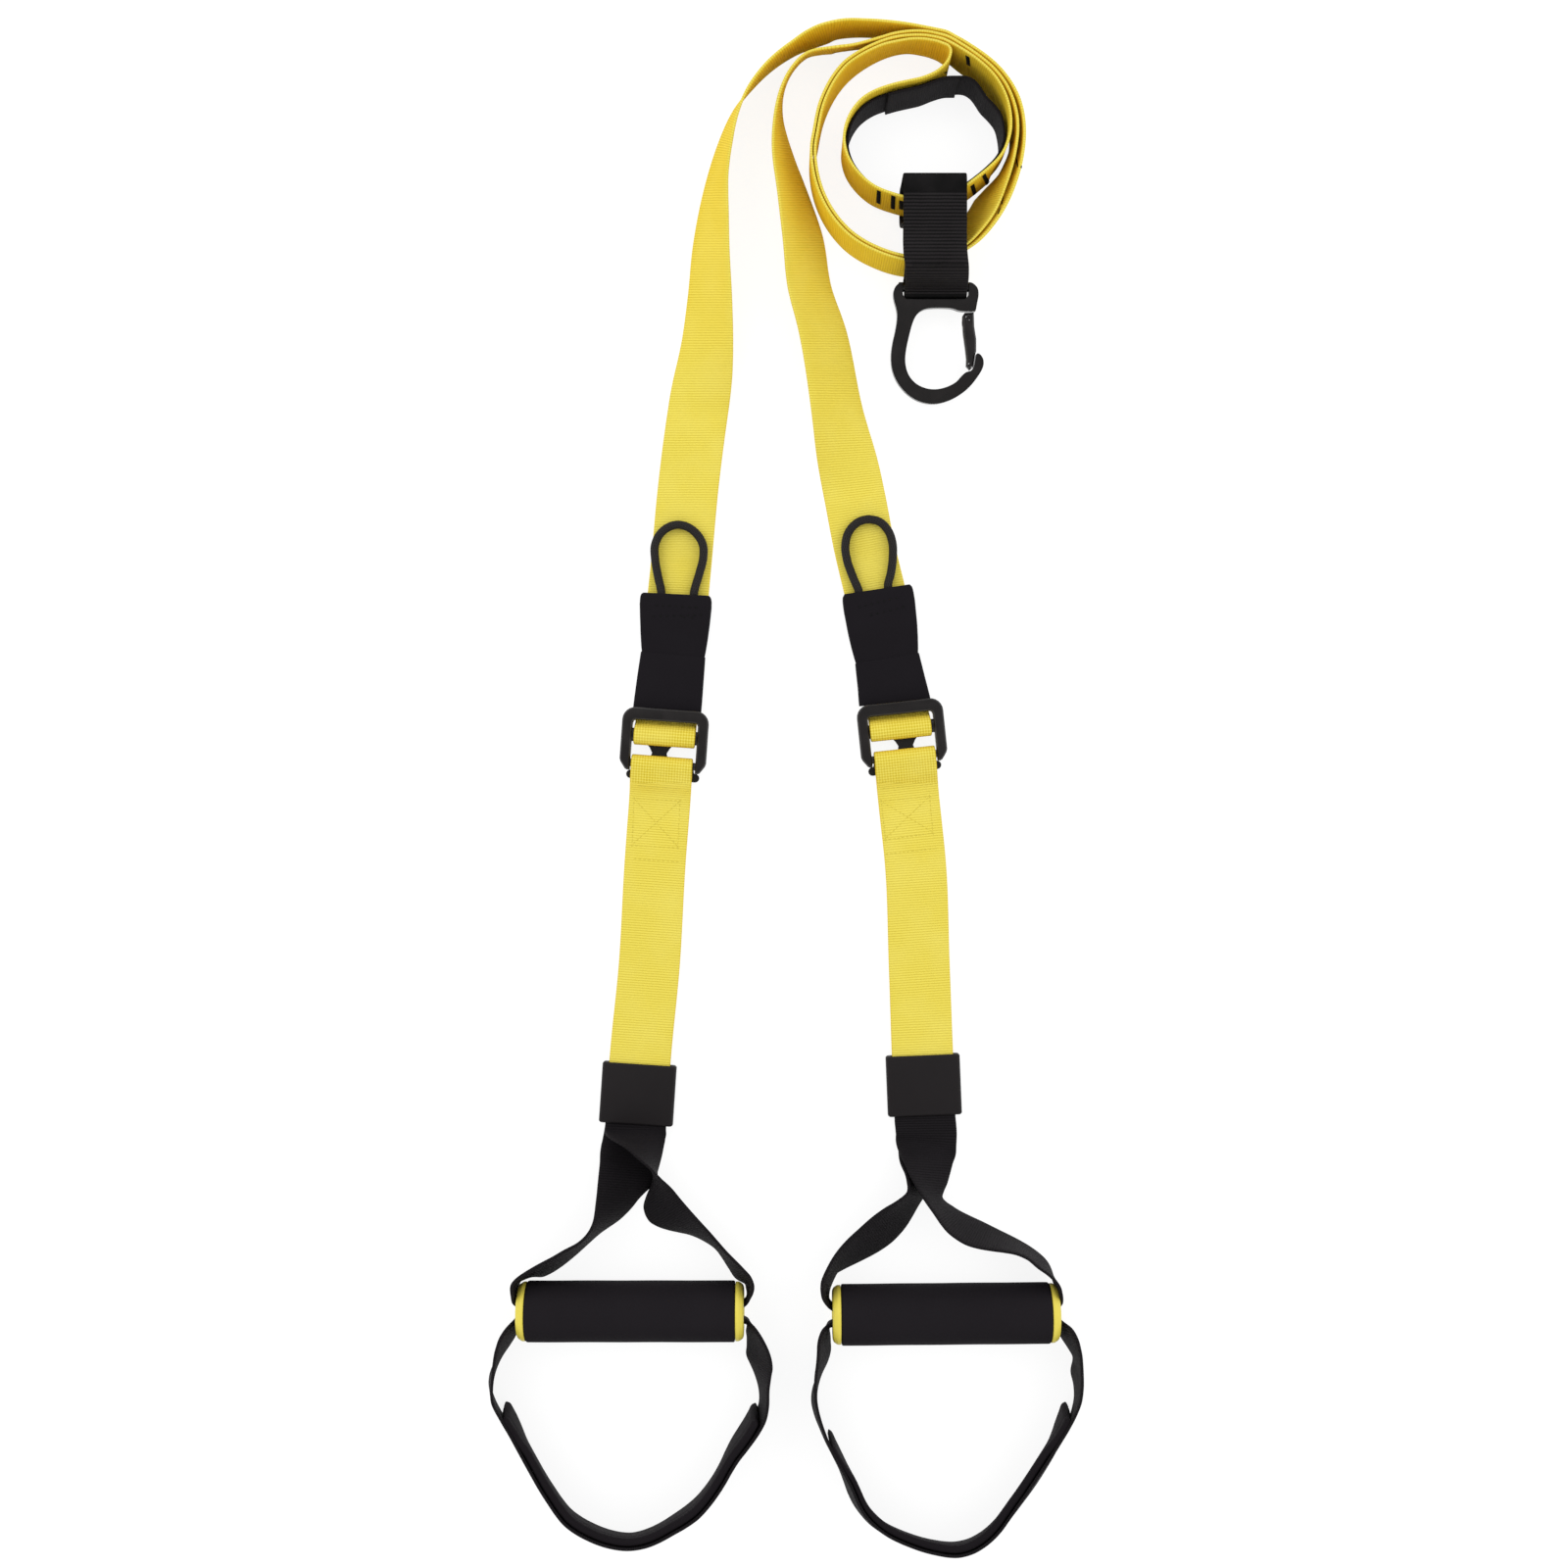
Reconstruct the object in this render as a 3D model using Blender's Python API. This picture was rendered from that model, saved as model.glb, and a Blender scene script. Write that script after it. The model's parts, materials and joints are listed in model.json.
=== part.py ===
# Suspension trainer laid flat: two webbing legs from one coiled anchor, each with a cam buckle,
# a grip and a foot cradle, and a carabiner on a sling.
# Units are metres, +Z up, and the trainer lies on the plane Z = 0.
import math

import bmesh
import bpy
import numpy as np
from mathutils import Matrix, Vector
from mathutils.geometry import tessellate_polygon

# Driving dimensions
STRAP_WIDTH = 0.038
STRAP_THICKNESS = 0.0017
WEB_THICKNESS = 0.0018
GAP = 0.0003
LAYER_GAP = 0.0005
PAIR_GAP = 0.0006

LINING_WIDTH = 0.030
LINING_THICKNESS = 0.0016
HEM_WIDTH = 0.0345
SLING_WIDTH = 0.0385

CARABINER_THICKNESS = 0.0085
CARABINER_CHAMFER = 0.0016
CARABINER_BAR_RADIUS = 0.0030
CARABINER_BAR_HEIGHT = 0.0140
GATE_THICKNESS = 0.0068
GATE_CHAMFER = 0.0010
GATE_WALL = 0.0017
GATE_PIN_RADIUS = 0.0013
GATE_SPRING_WIRE = 0.0004

FRAME_WIDTH = 0.0535
FRAME_THICKNESS = 0.0070
FRAME_CHAMFER = 0.0009
FRAME_TOP_REACH = 0.0148
FRAME_BOTTOM_REACH = 0.0242
FRAME_TOP_BAR = 0.0078
FRAME_SIDE_BAR = 0.0065
FRAME_CORNER_RADIUS = 0.0080
FRAME_HEIGHT = 0.0100
STRAP_TUNNEL_TOP = 0.0082
MIDDLE_BAR_DROP = 0.0022
MIDDLE_BAR_HALF_LENGTH = 0.0042
MIDDLE_BAR_HALF_HEIGHT = 0.0024
BOTTOM_BAR_DROP = 0.0196
BOTTOM_BAR_RADIUS = 0.0024
CHEEK_TOP = -0.0158
CHEEK_BOTTOM = -0.0217
CHEEK_WIDTH = 0.0036
CHEEK_FLOOR_CLEARANCE = 0.0008

LEVER_PIN_DROP = 0.0193
LEVER_PIN_HEIGHT = 0.0026
LEVER_PIN_RADIUS = 0.0009
LEVER_BARREL_RADIUS = 0.0019
LEVER_PLATE_THICKNESS = 0.0018
LEVER_PLATE_HEIGHT = 0.0033
LEVER_TAB_HEIGHT = 0.0022
LEVER_TAB_THICKNESS = 0.0016
LEVER_TOOTHED_HALF_WIDTH = 0.0165
LEVER_NECK_HALF_WIDTH = 0.0046
LEVER_TAB_HALF_WIDTH = 0.0229
LEVER_EAR_DROP = 0.0267
LEVER_EAR_RADIUS = 0.0027
LEVER_SPRING_RADIUS = 0.0016
LEVER_SPRING_WIRE = 0.00030
LEVER_SPRING_PITCH = 0.0014
LEVER_SPRING_TURNS = 4
LEVER_SPRING_SIDE = 0.0100

SLEEVE_WIDTH = 0.0424
SLEEVE_WALL = 0.0012
SLEEVE_CORNER = 0.0018
CORD_DIAMETER = 0.0052

LABEL_WIDTH = 0.0460
LABEL_LENGTH = 0.0375
LABEL_HEIGHT = 0.0085
LABEL_CORNER = 0.0024

GRIP_LENGTH = 0.1390
GRIP_DIAMETER = 0.0368
CAP_DIAMETER = 0.0356
CAP_LENGTH = 0.0052
CORE_OUTER_DIAMETER = 0.0275
CORE_WALL = 0.0020
BUNDLE_WIDTH = 0.0090
BUNDLE_THICKNESS = 0.0040
LOOP_BUNDLE_OFFSET = 0.0040
LOOP_BUNDLE_INSET = 0.0060
CRADLE_BUNDLE_OFFSET = -0.0046
CRADLE_BUNDLE_INSETS = (0.0100, 0.0055)

PAD_THICKNESS = 0.0052
PAD_HEIGHT = 0.0350
PAD_SWELL_SHARE = 0.5

# The photograph's frame: its centre pixel, its focal length in pixels and the camera's real height.
# A pixel seen at height z lies at (pixel - centre) / focal * (camera height - z).
PHOTO_CENTRE_PX = 800
PHOTO_FOCAL_PX = 1959
CAMERA_HEIGHT = 1.2

# A strap seen at nearly its full width lies flat
FLAT_SHARE = 0.95

MM = 0.001

# Easing apart of neighbouring strands
EASE_RATE = 0.25
EASE_ROUNDS = 60
EASE_REACH = 0.03

# Sampling of swept pieces
ROUTE_STEP = 0.0110
ROUTE_TURN_DEG = 11.0

YELLOW = (0.85, 0.68, 0.06)
BLACK_WEB = (0.018, 0.015, 0.018)
BLACK_METAL = (0.020, 0.018, 0.020)
BLACK_RUBBER = (0.022, 0.019, 0.021)
FOAM_BLACK = (0.024, 0.020, 0.023)
CAP_YELLOW = (0.86, 0.70, 0.10)
STEEL = (0.45, 0.45, 0.46)


# Placing

def at(pixel, height=0.0):
    """Ground position of a photograph pixel seen at a height, as (x, y)."""
    scale = (CAMERA_HEIGHT - height) / PHOTO_FOCAL_PX
    return np.array([(pixel[0] - PHOTO_CENTRE_PX) * scale, (PHOTO_CENTRE_PX - pixel[1]) * scale])


class Place:
    """A local frame on the floor: u to the right, v forward along the heading, z up."""

    def __init__(self, pixel, heading_deg, height=0.0):
        self.origin = at(pixel, height)
        heading = math.radians(heading_deg)
        self.v_axis = np.array([math.sin(heading), math.cos(heading)])
        self.u_axis = np.array([math.cos(heading), -math.sin(heading)])

    def point(self, u, v, z=0.0):
        spot = self.origin + self.u_axis * u + self.v_axis * v
        return np.array([spot[0], spot[1], z])

    def direction(self, u, v, z=0.0):
        turned = self.u_axis * u + self.v_axis * v
        return np.array([turned[0], turned[1], z])

    def matrix(self):
        return Matrix((
            (self.u_axis[0], self.v_axis[0], 0, self.origin[0]),
            (self.u_axis[1], self.v_axis[1], 0, self.origin[1]),
            (0, 0, 1, 0),
            (0, 0, 0, 1)))


# Stations: a station of a strap is (centre, across, width, thickness) in one row of 8 numbers

def station(centre, across, width, thickness):
    across = np.asarray(across, float)
    return np.concatenate([centre, across / np.linalg.norm(across), [width, thickness]])


def seen(high, low, base=0.0, width=None, thickness=None):
    """Strap whose high and low edges are seen at two pixels. The width that isn't seen is height."""
    width = width or STRAP_WIDTH
    thickness = thickness or STRAP_THICKNESS
    foot_height = base
    top_height = base
    for _ in range(12):
        top = at(high, top_height)
        foot = at(low, foot_height)
        spread = np.linalg.norm(top - foot)
        if spread > FLAT_SHARE * width:
            spread = width
        foot_height = base + thickness / 2 * spread / width
        top_height = foot_height + math.sqrt(width ** 2 - spread ** 2)
    top = np.append(top, top_height)
    foot = np.append(foot, foot_height)
    return station((top + foot) / 2, top - foot, width, thickness)


def stood(top_pixel, middle_pixel, lean, thickness, base=0.0, inset=0.0):
    """Strap on edge: its top edge's pixel, and how far its foot leans away from the middle."""
    width = STRAP_WIDTH
    rise = math.sqrt(width ** 2 - lean ** 2)
    top = at(top_pixel, base + rise)
    away = top - at(middle_pixel, base + rise)
    away /= np.linalg.norm(away)
    top = top - away * inset
    foot = np.append(top + away * lean, base)
    top = np.append(top, base + rise)
    return station((top + foot) / 2, top - foot, width, thickness)


def smooth_route(rows, closed=False, step=None, turn_deg=None, marks=False):
    """Cubic curve through the rows, with more samples where the route or the strap turns.

    With marks it also gives the sample at which each row lies.
    """
    step = step or ROUTE_STEP
    turn = math.radians(turn_deg or ROUTE_TURN_DEG)
    rows = np.asarray(rows, float)
    count = len(rows)
    if closed:
        rows = np.vstack([rows[-2:], rows, rows[:3]])
    gaps = np.linalg.norm(np.diff(rows[:, :3], axis=0), axis=1)
    slope = np.diff(rows, axis=0) / gaps[:, None]
    tangent = np.empty_like(rows)
    ahead = gaps[1:, None]
    behind = gaps[:-1, None]
    tangent[1:-1] = (slope[:-1] * ahead + slope[1:] * behind) / (ahead + behind)
    tangent[0] = slope[0]
    tangent[-1] = slope[-1]
    first = 2 if closed else 0
    last = first + count if closed else len(rows) - 1
    samples = []
    for index in range(first, last):
        gap = gaps[index]
        bend = 0.0
        for part in (slice(0, 3), slice(3, 6)):
            if part.start >= rows.shape[1]:
                continue
            source = tangent if part.start == 0 else rows
            one = source[index, part]
            two = source[index + 1, part]
            cosine = one @ two / (np.linalg.norm(one) * np.linalg.norm(two))
            bend = max(bend, math.acos(max(-1.0, min(1.0, cosine))))
        pieces = max(1, math.ceil(gap / step), math.ceil(bend / turn))
        u = (np.arange(pieces) / pieces)[:, None]
        samples.append(
            (2 * u ** 3 - 3 * u ** 2 + 1) * rows[index]
            + (u ** 3 - 2 * u ** 2 + u) * gap * tangent[index]
            + (3 * u ** 2 - 2 * u ** 3) * rows[index + 1]
            + (u ** 3 - u ** 2) * gap * tangent[index + 1])
    if not closed:
        samples.append(rows[-1:])
    if marks:
        return np.vstack(samples), np.cumsum([0] + [len(block) for block in samples])
    return np.vstack(samples)


def frames(route, closed=False):
    """Tangent, across and normal directions at each sample of a route.

    A strap's edges stay where its rows put them, so across may slant against the tangent.
    """
    centre = route[:, :3]
    if closed:
        tangent = np.roll(centre, -1, axis=0) - np.roll(centre, 1, axis=0)
    else:
        tangent = np.gradient(centre, axis=0)
    tangent /= np.linalg.norm(tangent, axis=1)[:, None]
    across = route[:, 3:6]
    across = across / np.linalg.norm(across, axis=1)[:, None]
    normal = np.cross(tangent, across)
    normal /= np.linalg.norm(normal, axis=1)[:, None]
    return tangent, across, normal


def grounded(route, closed=False):
    """The route lifted wherever its strap would reach below the floor."""
    across, normal = frames(route, closed)[1:]
    reach = np.abs(across[:, 2]) * route[:, 6] / 2 + np.abs(normal[:, 2]) * route[:, 7] / 2
    raised = route.copy()
    raised[:, 2] += np.maximum(0.0, reach - route[:, 2])
    return raised


def edges_of(route):
    """Top and foot edges of the stations of an upright strap."""
    across = frames(route)[1]
    across = across * np.sign(across[:, 2:3])
    half = route[:, 6:7] / 2
    return route[:, :3] + across * half, route[:, :3] - across * half


def pushed(points, chain, movable, apart, need):
    """One round of moving ground points off the line through a chain of points."""
    start = chain[:-1]
    step = chain[1:] - start
    length = np.maximum(np.sum(step ** 2, axis=1), (GAP / 10) ** 2)
    share = np.einsum("ijk,jk->ij", points[:, None] - start[None], step) / length
    share = np.clip(share, 0, 1)
    nearest = start[None] + share[:, :, None] * step[None]
    off = points[:, None] - nearest
    distance = np.maximum(np.linalg.norm(off, axis=2), GAP / 10)
    lack = np.where(apart & (distance < need), need - distance, 0)
    move = off / distance[:, :, None] * lack[:, :, None] * EASE_RATE
    total = move.sum(axis=1)
    back = np.zeros_like(chain)
    np.add.at(back, np.arange(len(start)), -(move * (1 - share)[:, :, None]).sum(axis=0))
    np.add.at(back, np.arange(len(start)) + 1, -(move * share[:, :, None]).sum(axis=0))
    return total * movable[:, None], back


def eased(route, movable, need):
    """Upright strands that would touch are moved apart, each edge on its own."""
    length = np.concatenate([[0], np.cumsum(np.linalg.norm(np.diff(route[:, :3], axis=0), axis=1))])
    apart = np.abs(length[:, None] - length[None, :-1]) > EASE_REACH
    apart &= movable[:, None] & movable[None, :-1] & movable[None, 1:]
    top, foot = edges_of(route)
    for _ in range(EASE_ROUNDS):
        for edge in (top, foot):
            ground = edge[:, :2]
            ahead, back = pushed(ground, ground, movable, apart, need)
            edge[:, :2] += ahead + back * movable[:, None]
    eased_route = route.copy()
    for index in np.flatnonzero(movable):
        spread = np.linalg.norm(top[index, :2] - foot[index, :2])
        rise = math.sqrt(route[index, 6] ** 2 - min(spread, route[index, 6]) ** 2)
        high = np.append(top[index, :2], foot[index, 2] + rise)
        low = foot[index]
        sign = 1 if route[index, 5] > 0 else -1
        eased_route[index] = station((high + low) / 2, (high - low) * sign, *route[index, 6:8])
    return eased_route


# Mesh builders

def material(name, colour, roughness, metallic=0.0):
    """A Principled material, made once for each name."""
    found = bpy.data.materials.get(name)
    if found:
        return found
    made = bpy.data.materials.new(name)
    made.use_nodes = True
    shader = made.node_tree.nodes["Principled BSDF"]
    shader.inputs["Base Color"].default_value = (*colour, 1)
    shader.inputs["Roughness"].default_value = roughness
    shader.inputs["Metallic"].default_value = metallic
    return made


def add_object(name, mesh, surface, smooth_deg=None, cutter=False):
    mesh.materials.append(surface)
    if smooth_deg:
        mesh.shade_smooth()
        mesh.set_sharp_from_angle(angle=math.radians(smooth_deg))
    made = bpy.data.objects.new(name, mesh)
    bpy.context.scene.collection.objects.link(made)
    if cutter:
        made.hide_render = True
        made.display_type = "WIRE"
    return made


def mesh_from(name, points, faces):
    mesh = bpy.data.meshes.new(name)
    mesh.from_pydata([tuple(point) for point in points], [], faces)
    work = bmesh.new()
    work.from_mesh(mesh)
    bmesh.ops.recalc_face_normals(work, faces=work.faces)
    work.to_mesh(mesh)
    work.free()
    return mesh


def ring_faces(rings, sides, closed):
    """Quads between neighbouring rings of a sweep, with caps on an open one."""
    faces = []
    for ring in range(rings if closed else rings - 1):
        after = (ring + 1) % rings
        for side in range(sides):
            beside = (side + 1) % sides
            faces.append((ring * sides + side, ring * sides + beside,
                          after * sides + beside, after * sides + side))
    if not closed:
        faces.append(tuple(range(sides)))
        faces.append(tuple((rings - 1) * sides + side for side in range(sides)))
    return faces


def unit_section(sides, squareness):
    """Closed outline with unit half sizes: a superellipse, or the plain rectangle."""
    if squareness is None:
        return np.array([(1, 1), (-1, 1), (-1, -1), (1, -1)], float)
    turn = (np.arange(sides) + 0.5) * 2 * math.pi / sides
    power = 2 / squareness
    return np.column_stack([
        np.sign(np.cos(turn)) * np.abs(np.cos(turn)) ** power,
        np.sign(np.sin(turn)) * np.abs(np.sin(turn)) ** power])


def sweep(name, route, surface, closed=False, squareness=None, sides=12, smooth_deg=40):
    """A strap or pad: a section of the route's own width and thickness, carried along it."""
    tangent, across, normal = frames(route, closed)
    section = unit_section(sides, squareness)
    half_width = route[:, 6] / 2
    half_thick = route[:, 7] / 2
    points = (route[:, None, :3]
              + section[None, :, :1] * (half_width[:, None] * across)[:, None, :]
              + section[None, :, 1:] * (half_thick[:, None] * normal)[:, None, :])
    faces = ring_faces(len(route), len(section), closed)
    return add_object(name, mesh_from(name, points.reshape(-1, 3), faces), surface, smooth_deg)


def sleeve(name, outer, inner, surface, smooth_deg=40):
    """A tube open at both ends from matching outer and inner rings, each (rings, sides, 3)."""
    rings, sides = outer.shape[:2]
    points = np.vstack([outer.reshape(-1, 3), inner.reshape(-1, 3)])
    shift = rings * sides
    faces = []
    for ring in range(rings - 1):
        for side in range(sides):
            beside = (side + 1) % sides
            low = ring * sides
            high = low + sides
            faces.append((low + side, low + beside, high + beside, high + side))
            faces.append((shift + low + beside, shift + low + side,
                          shift + high + side, shift + high + beside))
    for ring in (0, rings - 1):
        for side in range(sides):
            beside = (side + 1) % sides
            low = ring * sides
            faces.append((low + side, low + beside, shift + low + beside, shift + low + side))
    return add_object(name, mesh_from(name, points, faces), surface, smooth_deg)


def offset_outline(outline, distance):
    """A closed outline moved inwards by a distance, corner by corner."""
    outline = np.asarray(outline, float)
    along = np.roll(outline, -1, axis=0) - outline
    along /= np.linalg.norm(along, axis=1)[:, None]
    normal = np.column_stack([-along[:, 1], along[:, 0]])
    before = np.roll(normal, 1, axis=0)
    mitre = normal + before
    mitre /= np.maximum(np.sum(mitre * normal, axis=1), 0.5)[:, None]
    return outline + mitre * distance


def counter_clockwise(outline):
    outline = np.asarray(outline, float)
    after = np.roll(outline, -1, axis=0)
    area = np.sum(outline[:, 0] * after[:, 1] - after[:, 0] * outline[:, 1])
    return outline if area > 0 else outline[::-1]


def plate_mesh(name, outline, thickness, chamfer=0.0, middle=0.0):
    """An outline with a thickness about a middle height, and its rims chamfered."""
    outline = counter_clockwise(outline)
    half = thickness / 2
    if chamfer:
        inner = offset_outline(outline, chamfer)
        layers = [(inner, -half), (outline, chamfer - half), (outline, half - chamfer), (inner, half)]
    else:
        layers = [(outline, -half), (outline, half)]
    points = np.vstack([np.column_stack([ring, np.full(len(ring), middle + z)]) for ring, z in layers])
    sides = len(outline)
    faces = ring_faces(len(layers), sides, closed=False)[:-2]
    cap = tessellate_polygon([[Vector((x, y, 0)) for x, y in layers[0][0]]])
    top = (len(layers) - 1) * sides
    faces += [tuple(triangle) for triangle in cap]
    faces += [tuple(top + corner for corner in triangle) for triangle in cap]
    return mesh_from(name, points, faces)


def rounded_rectangle(low, high, radii, steps=5):
    """Outline with corner radii, from the lower left corner round to the upper left."""
    corners = [(low[0], low[1], 1, 1, 180), (high[0], low[1], -1, 1, 270),
               (high[0], high[1], -1, -1, 0), (low[0], high[1], 1, -1, 90)]
    outline = []
    for (x, y, inward_x, inward_y, start), radius in zip(corners, radii):
        for step in range(steps + 1):
            turn = math.radians(start + 90 * step / steps)
            outline.append((x + radius * (inward_x + math.cos(turn)),
                            y + radius * (inward_y + math.sin(turn))))
    return outline


def turned(name, profile, segments, surface, cutter=False, smooth_deg=35):
    """A profile of (radius, z) pairs turned about Z; a profile that closes on itself is a ring."""
    work = bmesh.new()
    points = [work.verts.new((radius, 0, z)) for radius, z in profile]
    edges = [work.edges.new((one, two)) for one, two in zip(points, points[1:] + points[:1])]
    bmesh.ops.spin(work, geom=points + edges, angle=math.tau, steps=segments,
                   axis=(0, 0, 1), cent=(0, 0, 0), use_merge=True)
    bmesh.ops.remove_doubles(work, verts=work.verts, dist=GAP / 100)
    bmesh.ops.recalc_face_normals(work, faces=work.faces)
    mesh = bpy.data.meshes.new(name)
    work.to_mesh(mesh)
    work.free()
    return add_object(name, mesh, surface, smooth_deg, cutter)


def rod_mesh(name, radius, length, segments=16, along="X", half_height=None):
    """A rod centred on the origin, oval when half_height is given."""
    half_height = half_height or radius
    turn = np.arange(segments) * math.tau / segments
    points = []
    for place in (-length / 2, length / 2):
        for angle in turn:
            one = math.cos(angle) * radius
            two = math.sin(angle) * half_height
            points.append((place, one, two) if along == "X" else (one, two, place))
    return mesh_from(name, points, ring_faces(2, segments, closed=False))


def helix_points(radius, pitch, turns, per_turn):
    turn = np.arange(int(turns * per_turn) + 1) / per_turn
    angle = turn * math.tau
    return np.column_stack([(turn - turns / 2) * pitch, radius * np.cos(angle), radius * np.sin(angle)])


def wire(name, points, radius, surface, resolution=1):
    """A round wire or cord: a curve with a bevel and filled caps."""
    curve = bpy.data.curves.new(name, "CURVE")
    curve.dimensions = "3D"
    curve.bevel_depth = radius
    curve.bevel_resolution = resolution
    curve.use_fill_caps = True
    spline = curve.splines.new("POLY")
    spline.points.add(len(points) - 1)
    for spot, point in zip(spline.points, points):
        spot.co = (*point, 1)
        spot.radius = 1
    curve.materials.append(surface)
    made = bpy.data.objects.new(name, curve)
    bpy.context.scene.collection.objects.link(made)
    return made


def boolean(body, operand, operation):
    """Cut or join an operand, which stays in the scene as a hidden guide."""
    operand.hide_render = True
    operand.display_type = "WIRE"
    step = body.modifiers.new(operation.lower(), "BOOLEAN")
    step.operation = operation
    step.solver = "EXACT"
    step.object = operand


# Materials of the pieces

def strap_yellow():
    return material("strap_yellow", YELLOW, 0.75)


def web_black():
    return material("web_black", BLACK_WEB, 0.80)


def metal_black():
    return material("metal_black", BLACK_METAL, 0.38, 0.6)


def rubber_black():
    return material("rubber_black", BLACK_RUBBER, 0.60)


def foam_black():
    return material("foam_black", FOAM_BLACK, 0.90)


def cap_yellow():
    return material("cap_yellow", CAP_YELLOW, 0.40)


def steel():
    return material("steel", STEEL, 0.35, 1.0)


# The two sides, by their places in the photograph

RING_MIDDLE_PX = (942, 155)
SLING_PX = 952.5

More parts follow.
